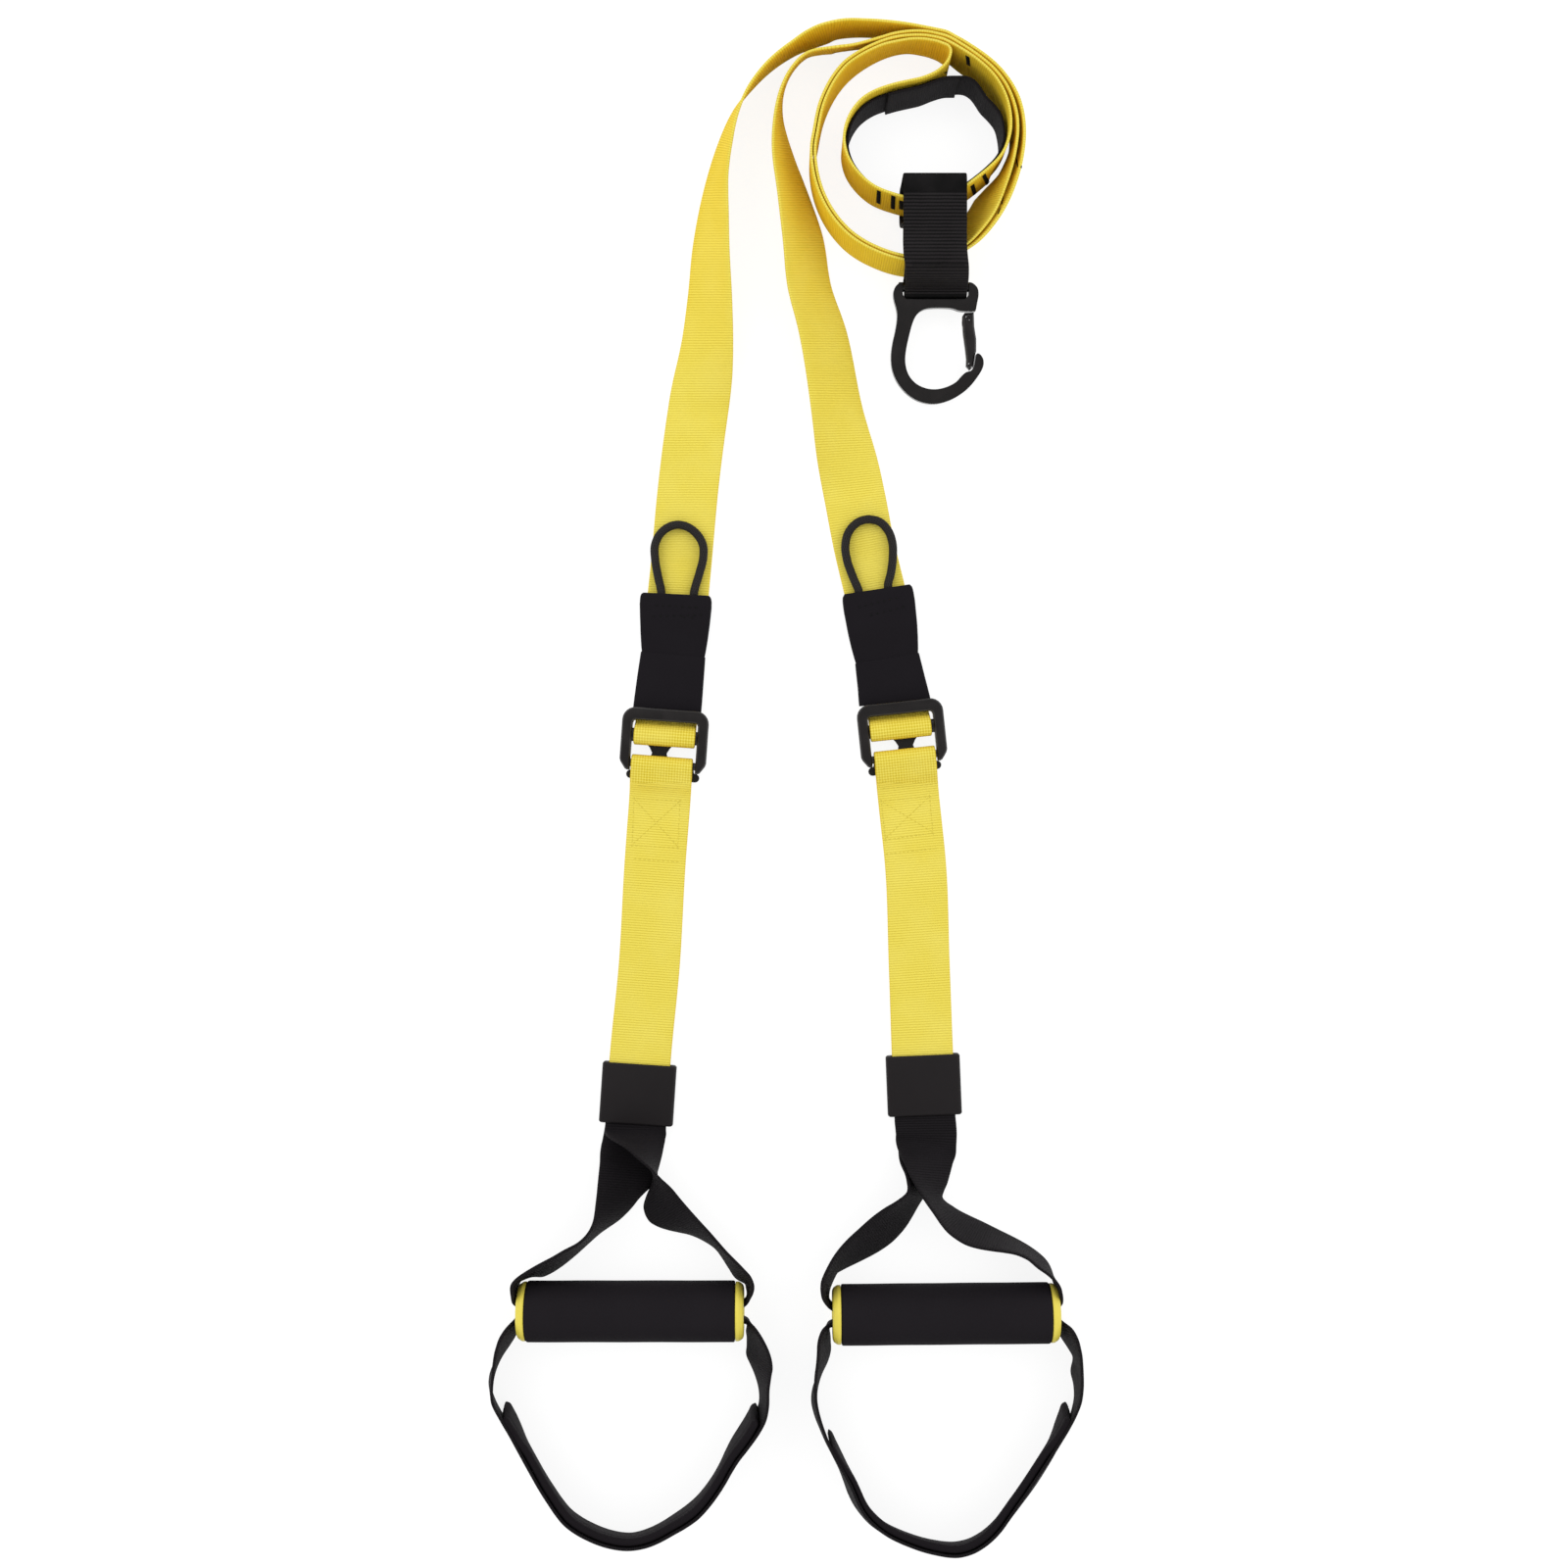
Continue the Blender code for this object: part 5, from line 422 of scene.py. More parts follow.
def moulded_finish(name, colour, roughness, grain, relief, gloss):
    """Moulded plastic or rubber: a fine grain and a slow drift in how dull it is."""
    finish = Finish(name, colour, roughness, Specular_IOR_Level=gloss)
    drift = finish.noise(60.0, 2.0)
    darker = tuple(part * 0.82 for part in colour)
    finish.set("Base Color", finish.mix((drift - 0.3).clipped(), colour, darker))
    finish.set("Roughness", drift * 0.16 + (roughness - 0.08))
    finish.bump(finish.noise(grain, 3.0), relief, 0.5)
    return finish.material


def metal_finish():
    """Satin black coating with a faint orange-peel and rubbed, slightly paler high spots."""
    finish = Finish("coated_metal", (0.010, 0.008, 0.008), 0.3, Specular_IOR_Level=0.45)
    rubbed = finish.noise(75.0, 4.0)
    finish.set("Base Color", finish.mix(((rubbed - 0.45) * 1.6).clipped(),
                                        (0.007, 0.0052, 0.0052), (0.020, 0.0155, 0.0155)))
    finish.set("Roughness", rubbed * 0.16 + 0.20)
    finish.bump(finish.noise(900.0, 2.0), 0.00008, 0.4)
    return finish.material


def wire_finish():
    """Bare drawn steel, duller and brighter in turn."""
    finish = Finish("spring_steel", (0.45, 0.45, 0.46), 0.3, 1.0)
    finish.set("Roughness", finish.noise(700.0, 2.0) * 0.2 + 0.2)
    return finish.material


RUBBER = moulded_finish("label_rubber", (0.0125, 0.0102, 0.0110), 0.6, 1800.0, 0.00008, 0.17)
TUBE = moulded_finish("grip_tube", (0.011, 0.009, 0.011), 0.55, 1200.0, 0.00005, 0.3)
CAP = moulded_finish("end_cap", (0.88, 0.74, 0.10), 0.42, 1500.0, 0.00004, 0.3)
METAL = metal_finish()
STEEL = wire_finish()

# %% [markdown]
# ## Floor and sky
#
# The photograph's background is white, yet more light on the trainer would bleach its colours. So
# the floor glows only for the rays that the camera and shiny surfaces send, and keeps a trace of
# the soft shadow. Shiny surfaces see a sky that is dim overhead and bright near the horizon: flat
# faces stay dark, and their edges catch the light.

# %% Floor and sky
SKY_STRENGTH = 0.78
SKY_SEEN = 1.1
SKY_TOP = 0.35
SKY_RIM = 1.7
FLOOR_SIZE = 8.0
FLOOR_DROP = 0.0004
FLOOR_GLOW = 0.75
FLOOR_LIGHT = 1.15
WHITE = (1, 1, 1)

floor_finish = Finish("pale_floor", (0.93, 0.93, 0.93), 0.9)
seen_rays = floor_finish.ray("Camera").maths("MAXIMUM", floor_finish.ray("Glossy"))
glow = floor_finish.node("ShaderNodeEmission", None, {"Color": WHITE, "Strength": FLOOR_LIGHT})
lit = Wire(floor_finish, floor_finish.shader.outputs[0])
blend = floor_finish.node("ShaderNodeMixShader", None, {0: seen_rays * FLOOR_GLOW, 1: lit, 2: glow})
floor_finish.feed(floor_finish.nodes["Material Output"].inputs[0], blend)

world = bpy.data.worlds.new("sky")
scene.world = world
world.use_nodes = True
sky = Tree(world.node_tree)
rise = sky.parts(sky.node("ShaderNodeTexCoord"))[2].clipped()
mirrored = (1 - rise) * (SKY_RIM - SKY_TOP) + SKY_TOP
camera_ray, glossy_ray = sky.ray("Camera"), sky.ray("Glossy")
other_ray = (1 - camera_ray - glossy_ray).clipped()
sky.feed(sky.nodes["Background"].inputs["Color"], WHITE)
sky.feed(sky.nodes["Background"].inputs["Strength"],
         camera_ray * SKY_SEEN + glossy_ray * mirrored + other_ray * SKY_STRENGTH)


def mesh_object(name, points, faces, finish):
    """A smooth-shaded object at the origin, from whole arrays of points and faces."""
    mesh = bpy.data.meshes.new(name)
    mesh.from_pydata(points, [], faces)
    mesh.materials.append(finish)
    mesh.polygons.foreach_set("use_smooth", np.ones(len(mesh.polygons), bool))
    piece = bpy.data.objects.new(name, mesh)
    scene.collection.objects.link(piece)
    print(f"{name}: {len(mesh.vertices)} points, {len(mesh.polygons)} faces")
    return piece


floor_corners = [(x * FLOOR_SIZE / 2, y * FLOOR_SIZE / 2, -FLOOR_DROP)
                 for x, y in ((-1, -1), (1, -1), (1, 1), (-1, 1))]
floor = mesh_object("floor", floor_corners, [(0, 1, 2, 3)], floor_finish.material)

# %% [markdown]
# ## Grids
#
# Every new surface is a grid of points: rows along the piece and columns round its section. Built
# one face at a time it would be slow, so one function turns a whole grid into a closed mesh that
# faces outwards, and lays the piece's UV map over it in metres.

# %% A grid becomes a mesh


def grid_faces(rows, columns, closed):
    """Quads (i, j), (i, j+1), (i+1, j+1), (i+1, j) of a grid whose columns close on themselves."""
    row, column = np.meshgrid(np.arange(rows if closed else rows - 1), np.arange(columns), indexing="ij")
    after = (row + 1) % rows
    beside = (column + 1) % columns
    quads = np.stack([row * columns + column, row * columns + beside,
                      after * columns + beside, after * columns + column], axis=-1)
    return quads.reshape(-1, 4)


def shell(name, grid, finish, closed=False, across=None, along=None, length=0.0):
    """A closed skin over a grid of points (rows, columns, 3), with flat ends unless it is a loop."""
    rows, columns = grid.shape[:2]
    quads = grid_faces(rows, columns, closed)
    corners = grid.reshape(-1, 3)[quads]
    away = np.cross(corners[:, 1] - corners[:, 0], corners[:, 2] - corners[:, 0])
    inward = np.einsum("ij,ij->", away, corners[:, 0]) < 0
    if inward:
        quads = quads[:, ::-1]
    faces = quads.tolist()
    if not closed:
        first = list(range(columns))
        last = list(range((rows - 1) * columns, rows * columns))
        faces += [first if inward else first[::-1], last[::-1] if inward else last]
    piece = mesh_object(name, grid.reshape(-1, 3), faces, finish)
    if across is not None:
        row = quads // columns
        v = along[row]
        if closed:
            wraps = (row == 0) & (row.max(axis=1) == rows - 1)[:, None]
            v = np.where(wraps, v + length, v)
        uv = np.zeros((len(piece.data.loops), 2), np.float32)
        uv[:quads.size] = np.column_stack([across.reshape(-1)[quads].reshape(-1), v.reshape(-1)])
        piece.data.uv_layers.new(name=WEAVE_MAP).data.foreach_set("uv", uv.reshape(-1))
    return piece


# %% [markdown]
# ## Reading a strap's line
#
# A packed strap is a chain of four-cornered rings, and its line could be typed in again point by
# point. It is read off instead, so that it can't drift from the solid: starting from one end, the
# corners that touch a ring and haven't been used yet are the next ring.

# %% The rings of a packed strap
SAME_SPOT = 1e-6
SAME_SIZE = 1e-5
EVEN_SIDES = 3e-5
SQUARE_CORNERS = 3e-7
USUAL_THICKNESS = 0.002


def merged(node):
    """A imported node's loose triangles, joined where their corners meet."""
    mesh = bmesh.new()
    mesh.from_mesh(frame["nodes"][node].data)
    bmesh.ops.remove_doubles(mesh, verts=mesh.verts, dist=SAME_SPOT)
    mesh.verts.index_update()
    return mesh


def packed_corners(node):
    """Corners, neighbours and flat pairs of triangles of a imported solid."""
    mesh = merged(node)
    corners = np.array([vertex.co for vertex in mesh.verts])
    near = [{edge.other_vert(vertex).index for edge in vertex.link_edges} for vertex in mesh.verts]
    pairs = [{vertex.index for face in edge.link_faces for vertex in face.verts} for edge in mesh.edges]
    mesh.free()
    return corners, near, pairs


def beyond(ring, near, used):
    """Corners next to a ring that aren't used yet."""
    return set().union(*(near[corner] for corner in ring)) - used


def rectangle(corners, four):
    """The short side of four corners that make a rectangle, or nothing."""
    spots = corners[list(four)]
    reach = np.sort([np.linalg.norm(one - two) for one, two in itertools.combinations(spots, 2)])
    even = np.abs(reach[::2] - reach[1::2]).max() < EVEN_SIDES
    square = abs(reach[4] ** 2 - reach[0] ** 2 - reach[2] ** 2) < SQUARE_CORNERS
    return reach[0] if even and square else None


def ring_after(corners, near, ring, used):
    """The unused corners next to a ring, or the nearest such rectangle where they aren't one."""
    after = beyond(ring, near, used)
    if not after or (len(after) == 4 and rectangle(corners, after)):
        return after
    wider = after | beyond(after, near, used)
    middle = corners[sorted(ring)].mean(axis=0)
    thick = rectangle(corners, ring) or USUAL_THICKNESS
    found = []
    for four in itertools.combinations(sorted(wider), 4):
        short = rectangle(corners, four)
        if short:
            reach = np.linalg.norm(corners[list(four)].mean(axis=0) - middle)
            found.append((reach + 20 * abs(short - thick), four))
    return set(min(found)[1]) if found else set()


# %% [markdown]
# ## Where a strap begins
#
# A strap with two ends begins at its end face, two triangles that touch exactly four more corners.
# An endless strap, such as the ring's lining, has no such face, and is entered at any four corners
# that stand as a rectangle of its width and thickness. From there both are followed in the same
# way, and each ring's corners are put in the order of the ring before.

# %% From the first ring to the last


def loop_start(corners, near, width, thickness):
    """A ring of an endless strap: four corners that stand as a width by thickness rectangle."""
    def apart(one, two, size):
        return abs(np.linalg.norm(corners[one] - corners[two]) - size) < SAME_SIZE

    for one in range(len(corners)):
        for two in near[one]:
            if not apart(one, two, thickness):
                continue
            for three in near[one]:
                for four in near[two] & near[three]:
                    if apart(one, three, width) and apart(two, four, width) and apart(three, four, thickness):
                        return {one, two, three, four}
    raise ValueError("no ring found")


def rings_of(node, loop=None):
    """The strap's rings in order, each with its corners in the order of the ring before."""
    corners, near, pairs = packed_corners(node)
    if loop:
        rings = [loop_start(corners, near, *loop)]
    else:
        rings = [next(pair for pair in pairs if len(pair) == 4 and len(beyond(pair, near, pair)) == 4)]
    used = set(rings[0])
    while True:
        after = ring_after(corners, near, rings[-1], used)
        if not after:
            break
        rings.append(after)
        used |= after
    start = corners[sorted(rings[0])]
    reach = np.linalg.norm(start - start[0], axis=1)
    a, b, c, d = np.argsort(reach)
    ordered = [start[[a, b, d, c]]]
    for ring in rings[1:]:
        spots = corners[sorted(ring)]
        choices = [spots[list(order)] for order in itertools.permutations(range(4))]
        ordered.append(min(choices, key=lambda choice: np.sum((choice - ordered[-1]) ** 2)))
    return np.array(ordered)


# %% [markdown]
# ## A strap as two smooth edges
#
# The strap is everything between its two long edges, so both edges become smooth curves. Straight
# steps from ring to ring would show as corners. A cubic Hermite curve needs only the rings'
# positions and their slopes, is worked out in a few array operations, and passes through each ring.

# %% Smooth curves and the strap's line
OVERLAP_RINGS = 3


def unit(vectors):
    """Each vector divided by its length."""
    return vectors / np.linalg.norm(vectors, axis=1)[:, None]


def run(points):
    """Distance travelled along a line of points, from 0 at the first."""
    return np.concatenate([[0], np.cumsum(np.linalg.norm(np.diff(points, axis=0), axis=1))])


def read_off(places, knots, values):
    """Columns of values, given at knots, read off at places between them."""
    return np.column_stack([np.interp(places, knots, column) for column in values.T])


def hermite(values, knots, places):
    """Cubic through values at knots: h00 p0 + h10 m0 + h01 p1 + h11 m1 on each stretch."""
    slopes = np.gradient(values, knots, axis=0)
    index = np.clip(np.searchsorted(knots, places, side="right") - 1, 0, len(knots) - 2)
    stretch = knots[index + 1] - knots[index]
    t = ((places - knots[index]) / stretch)[:, None]
    stretch = stretch[:, None]
    return ((2 * t ** 3 - 3 * t ** 2 + 1) * values[index]
            + (t ** 3 - 2 * t ** 2 + t) * stretch * slopes[index]
            + (3 * t ** 2 - 2 * t ** 3) * values[index + 1]
            + (t ** 3 - t ** 2) * stretch * slopes[index + 1])


class Strap:
    """A strap's smooth line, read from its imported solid."""

    def __init__(self, node, loop=None, step=0.0016, bend=None):
        rings = rings_of(node, loop)
        self.node = node
        self.closed = loop is not None
        if self.closed:
            rings = np.vstack([rings[-OVERLAP_RINGS:], rings, rings[:OVERLAP_RINGS]])
        knots = run(rings.mean(axis=1))
        begin, end = (knots[OVERLAP_RINGS], knots[-OVERLAP_RINGS]) if self.closed else (0.0, knots[-1])
        self.length = end - begin
        rows = max(8, round(self.length / step))
        places = np.linspace(begin, end, rows + 1)[:-1] if self.closed else np.linspace(begin, end, rows)
        low = hermite((rings[:, 0] + rings[:, 1]) / 2, knots, places)
        high = hermite((rings[:, 2] + rings[:, 3]) / 2, knots, places)
        if bend:
            low, high = bend(low), bend(high)
        self.thick = np.interp(places, knots, np.linalg.norm(rings[:, 0] - rings[:, 1], axis=1))
        self.along = places - begin
        self.middle = (low + high) / 2
        self.width = np.linalg.norm(high - low, axis=1)
        self.across = unit(high - low)
        if self.closed:
            forward = np.roll(self.middle, -1, axis=0) - np.roll(self.middle, 1, axis=0)
        else:
            forward = np.gradient(self.middle, axis=0)
        self.normal = unit(np.cross(forward, self.across))
        print(f"{node}: {len(rings)} rings, {self.length * 1000:.0f} mm long")


# %% [markdown]
# ## From a line to a band
#
# Webbing has two flat faces and soft, round selvedges. A Solidify modifier would give it square
# edges, so the whole section is written down once and carried along the strap's line.

# %% The section and the band
EDGE_TURNS = np.radians([-90, -50, 0, 50, 90])
FLAT_SHARES = np.array([0.72, 0.36, 0.0, -0.36, -0.72])


def strap_section(width, thick):
    """Flat faces joined by half-round edges: ((w - t) / 2 + t / 2 cos a, t / 2 sin a)."""
    radius = thick / 2
    flat = width / 2 - radius
    x = np.concatenate([flat[:, None] + radius[:, None] * np.cos(EDGE_TURNS), flat[:, None] * FLAT_SHARES,
                        -flat[:, None] - radius[:, None] * np.cos(EDGE_TURNS[::-1]),
                        flat[:, None] * FLAT_SHARES[::-1]], axis=1)
    round_z = radius[:, None] * np.sin(EDGE_TURNS)
    top = np.repeat(radius[:, None], len(FLAT_SHARES), axis=1)
    z = np.concatenate([round_z, top, round_z[:, ::-1], -top], axis=1)
    return x, z


def dress(piece, body, node):
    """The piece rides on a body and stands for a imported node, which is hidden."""
    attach(piece, body)
    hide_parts(node)


def webbing(strap, finish, body):
    """The section carried along the strap: middle + x across + z normal."""
    x, z = strap_section(strap.width, strap.thick)
    grid = strap.middle[:, None] + x[..., None] * strap.across[:, None] + z[..., None] * strap.normal[:, None]
    piece = shell(strap.node + "_webbing", grid, finish, strap.closed, x, strap.along, strap.length)
    dress(piece, body, strap.node)
    return piece


# %% [markdown]
# ## Small bends that the solids lack
#
# In a few spots the photographed strap lies a little differently from its solid. The coil's outer
# turns fan out beside the sling, and the sling sits tight on the carabiner's bar. Each is one
# function that moves the edges' points, with a smooth weight so that no kink shows. A lattice would
# do the same, but its reach is harder to read.

# %% Bends of the coil and the sling
STRAP_WIDTH = 0.038
RING_MIDDLE_PX = (942, 155)
LEAN_TURNS_DEG = [-95, -72, -58, -42, -28, -15, -3, 12]
LEANS_MM = [0.0, 0.0, 8.5, 11.5, 10.5, 7.0, 2.5, 0.0]
OUTER_STRANDS_PX = (72, 80)
SLING_END_PX = (276, 300)
SLING_END_HEIGHT = 0.012
SLING_DROP = 0.0022


def smooth_step(share):
    """3 s^2 - 2 s^3 between 0 and 1, and flat outside."""
    share = np.clip(share, 0, 1)
    return share * share * (3 - 2 * share)


def lean_in(points):
    """Lower edges of the coil's outer strands, right of the sling, pushed towards the ring."""
    out = points[:, :2] - seen(*RING_MIDDLE_PX, STRAP_WIDTH)[:2]
    reach = np.linalg.norm(out, axis=1)
    turn = np.degrees(np.arctan2(out[:, 1], out[:, 0]))
    lean = np.interp(turn, LEAN_TURNS_DEG, LEANS_MM, left=0.0, right=0.0) / 1000
    inner, outer = OUTER_STRANDS_PX
    reach_px = reach * FOCAL_PX / (CAMERA_HEIGHT - STRAP_WIDTH)
    lean *= smooth_step((reach_px - inner) / (outer - inner))
    depth = 1 - np.clip(points[:, 2] / STRAP_WIDTH, 0, 1)
    moved = points.copy()
    moved[:, :2] -= out / reach[:, None] * (lean * depth)[:, None]
    moved[:, 2] *= np.sqrt(1 - (lean / STRAP_WIDTH) ** 2)
    return moved


def sling_down(points):
    """The sling's lower end drawn down onto the bar, so that it fills the slot."""
    top, bottom = (seen(CENTRE_PX, py, SLING_END_HEIGHT)[1] for py in SLING_END_PX)
    moved = points.copy()
    moved[:, 1] -= SLING_DROP * smooth_step((top - points[:, 1]) / (top - bottom))
    return moved


# %% [markdown]
# ## Two handle loops
#
# The straps that hold the grips fold over themselves. The left one bellies out where its two
# strands part, and the right one turns more gently at the end of its grip than its solid does. Both
# changes reach only as far as a bell-shaped weight round one pixel, so the rest of the loop stays.

# %% Bends of the handle loops
LOOP_HEIGHT = 0.015
FULLER_LOOP_PX = (657, 1209, 11)
FULLER_LOOP = 0.0058
EASED_LOOP_PX = (1072, 1298, 16)
EASED_PLATEAU = 1.6
EASED_SPREAD_MM = 8.0
LOOP_STEP_MM = 1.3


def averaged(points, spread_mm, step_mm):
    """Points replaced by a bell-weighted mean of their neighbours along the strap."""
    reach = int(3 * spread_mm / step_mm)
    weights = np.exp(-0.5 * (np.arange(-reach, reach + 1) * step_mm / spread_mm) ** 2)
    padded = np.pad(points, ((reach, reach), (0, 0)), mode="edge")
    return np.column_stack([np.convolve(column, weights / weights.sum(), "valid") for column in padded.T])


def near_pixel(points, px, py, reach_px):
    """Bell-shaped weight, 1 at a pixel and falling off with the distance from it."""
    reach = reach_px * (CAMERA_HEIGHT - LOOP_HEIGHT) / FOCAL_PX
    spot = seen(px, py, LOOP_HEIGHT)[:2]
    return np.exp(-np.sum((points[:, :2] - spot) ** 2, axis=1) / (2 * reach ** 2))[:, None]


def left_loop_fuller(points):
    """The back strand's edge pushed out under the front strand, where the two part."""
    back = np.linspace(0, 1, len(points))[:, None] > 0.5
    return points + np.array([FULLER_LOOP, 0, 0]) * near_pixel(points, *FULLER_LOOP_PX) * back


def right_loop_eased(points):
    """The quick turn of the strand at the grip's right end drawn out."""
    share = np.clip(near_pixel(points, *EASED_LOOP_PX) * EASED_PLATEAU, 0, 1)
    return points * (1 - share) + averaged(points, EASED_SPREAD_MM, LOOP_STEP_MM) * share


# %% [markdown]
# ## The long yellow strap
#
# One strap runs from the left buckle up the left leg, round the stored coil, through the anchor
# ring, back round the coil and down the right leg. It stands on edge in the coil and lies flat in
# the legs, so a flat curve with a bevel can't follow it, but two edges can. The handle straps below
# the buckles are doubled loops of the same webbing.

# %% Main strap and handle straps
MAIN_STEP = 0.0018

main_strap = Strap("main_strap", step=MAIN_STEP, bend=lean_in)
main_webbing = webbing(main_strap, YELLOW_WEB, "root")
dressed = {}
for side in SIDES:
    node = f"{side}_handle_strap"
    dressed[node] = webbing(Strap(node), YELLOW_WEB, f"{side}_handle")

# %% [markdown]
# ## The black webbing
#
# The anchor ring has a black lining with a doubled hem, and the sling that holds the carabiner
# goes round the ring and the stored coil. The grips hang in black loops, and the foot cradles are
# loops of the same webbing that start inside the grips. All are read and made like the long strap.

# %% Lining, hem, sling, loops and cradles
SLING_SIZE = (0.0385, 0.0018)
LINING_SIZE = (0.030, 0.0016)
ANCHOR = {"anchor_lining": (LINING_SIZE, None, BLACK_WEB),
          "anchor_sling": (SLING_SIZE, sling_down, SLING_WEB),
          "lining_hem": (None, None, BLACK_WEB)}
LOOP_BENDS = {"left_handle_loop": left_loop_fuller, "right_handle_loop": right_loop_eased}

for node, (size, bend, finish) in ANCHOR.items():
    dressed[node] = webbing(Strap(node, size, bend=bend), finish, "root")
loops = {}
for side in SIDES:
    for kind, body in (("handle_loop", "handle"), ("cradle_strap", "cradle")):
        node = f"{side}_{kind}"
        loops[node] = Strap(node, step=LOOP_STEP_MM / 1000, bend=LOOP_BENDS.get(node))
        webbing(loops[node], BLACK_WEB, f"{side}_{body}")

# %% [markdown]
# ## Turned pieces
#
# A grip is a foam tube on a plastic core, with a yellow cap at each end. A cylinder and a few
# bevels come close, but a profile turned about the grip's axis gives every rounding its real
# radius. That axis is also the axis of the grip's joint, so the grip spins true.

# %% Profiles turned about an axis
WAVES_ROUND = 3
WAVE_TWIST = 60
WAVES_ALONG = 85
MOST_OF_A_SIDE = 0.45


def joint_axis(name):
    """Where a joint stands and the direction of its axis."""
    joint = next(joint for joint in frame["joints"] if joint["name"] == name)
    axis = np.array(joint["axis"], float)
    return np.array(joint["pos_m"]), axis / np.linalg.norm(axis)


def turns(count):
    """Angles of a full turn in equal steps."""
    return np.arange(count) * math.tau / count


def turned(name, profile, centre, axis, finish, columns=96, wobble=0.0):
    """Points centre + s axis + r (cos a up + sin a side), for the profile's (r, s) pairs."""
    up = np.array([0.0, 0.0, 1.0])
    beside = np.cross(axis, up)
    turn = turns(columns)
    profile = np.array(profile)
    twist = np.sin(WAVES_ROUND * turn + profile[:, 1:] * WAVE_TWIST)
    radius = profile[:, :1] + wobble * twist * np.sin(profile[:, 1:] * WAVES_ALONG)
    ray = np.cos(turn)[:, None] * up + np.sin(turn)[:, None] * beside
    grid = centre + profile[:, 1:, None] * axis + radius[..., None] * ray
    return shell(name, grid, finish, closed=True)


def rounded(profile, radius, steps=4):
    """A closed profile with each corner replaced by a short quadratic curve."""
    profile = np.array(profile, float)
    before = np.roll(profile, 1, axis=0) - profile
    after = np.roll(profile, -1, axis=0) - profile
    reach_before = np.minimum(radius / np.linalg.norm(before, axis=1), MOST_OF_A_SIDE)[:, None]
    reach_after = np.minimum(radius / np.linalg.norm(after, axis=1), MOST_OF_A_SIDE)[:, None]
    start = profile + before * reach_before
    end = profile + after * reach_after
    t = np.linspace(0, 1, steps)[None, :, None]
    return ((1 - t) ** 2 * start[:, None] + 2 * t * (1 - t) * profile[:, None]
            + t ** 2 * end[:, None]).reshape(-1, 2)


# %% [markdown]
# ## Grips
#
# The foam is soft and was cut from a long tube, so its skin waves by less than a tenth of a
# millimetre. The caps are moulded with a domed face and a mouth that holds the core.

# %% Foam and caps
GRIP_HALF = 0.0695
CAP_LENGTH = 0.0052
CORE_RADIUS = 0.01375
CORE_WALL = 0.0020
GAP = 0.0003
CAP_RADIUS = 0.0178
FOAM_RADIUS = 0.0184
FOAM_ROUND = 0.0012
FOAM_ROWS = 60
FOAM_ROW_INSET = 0.002
FOAM_WOBBLE = 0.00008
CAP_DOME = np.array([(-0.04, 0.0), (0.0, 0.08), (0.0, 0.40), (-0.30, 0.86), (-0.62, 1.0)]) * CAP_LENGTH
CAP_MOUTH = np.array([(0.2, 1.0), (0.0, 0.82)]) * CAP_LENGTH

seat = CORE_RADIUS + GAP
mouth = CORE_RADIUS - CORE_WALL
ledge = CAP_LENGTH - (CAP_LENGTH * 0.45 - GAP)
cap_profile = rounded(np.vstack([[(seat, 0)], CAP_DOME + (CAP_RADIUS, 0), CAP_MOUTH + (mouth, 0),
                                 [(mouth, ledge), (seat, ledge)]]), CAP_LENGTH * 0.12)
foam_half = GRIP_HALF - CAP_LENGTH - GAP
foam_profile = rounded([(seat, -foam_half), (FOAM_RADIUS, -foam_half),
                        (FOAM_RADIUS, foam_half), (seat, foam_half)], FOAM_ROUND)
cut = np.argmax(np.diff(foam_profile[:, 1]) > foam_half) + 1
straight = np.linspace(-foam_half + FOAM_ROW_INSET, foam_half - FOAM_ROW_INSET, FOAM_ROWS)
foam_profile = np.vstack([foam_profile[:cut], np.column_stack([np.full(FOAM_ROWS, FOAM_RADIUS), straight]),
                          foam_profile[cut:]])
for side in SIDES:
    centre, axis = joint_axis(f"{side}_grip_turn")
    foam = turned(f"{side}_foam", foam_profile, centre, axis, FOAM, wobble=FOAM_WOBBLE)
    dress(foam, f"{side}_grip", f"{side}_grip_foam")
    for end, way in (("right", 1), ("left", -1)):
        seat_spot = centre + axis * way * (GRIP_HALF - CAP_LENGTH)
        cap = turned(f"{side}_end_{end}", cap_profile, seat_spot, axis * way, CAP)
        dress(cap, f"{side}_grip", f"{side}_cap_{end}")

# %% [markdown]
# ## Carried-over nodes
#
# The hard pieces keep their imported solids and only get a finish. A sharp edge never catches the
# light, though, and on black metal that light is most of what one sees. So the gate, the buckle
# frames and the rubber labels are shown as copies whose edges are rounded by a Bevel modifier.

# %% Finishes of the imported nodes
CARRIED = {"coated_metal": METAL, "spring_steel": STEEL, "label_rubber": RUBBER, "grip_tube": TUBE}
LEVEL_DEG = 0.4
EDGE_DEG = 24

slots = {entry["node"]: entry["material_slot"] for entry in frame["record"]["subparts"]}
for node, piece in frame["nodes"].items():
    finish = CARRIED.get(slots[node])
    if finish is not None:
        piece.data.materials.clear()
        piece.data.materials.append(finish)
        print(f"{node} keeps its solid, in {finish.name}")


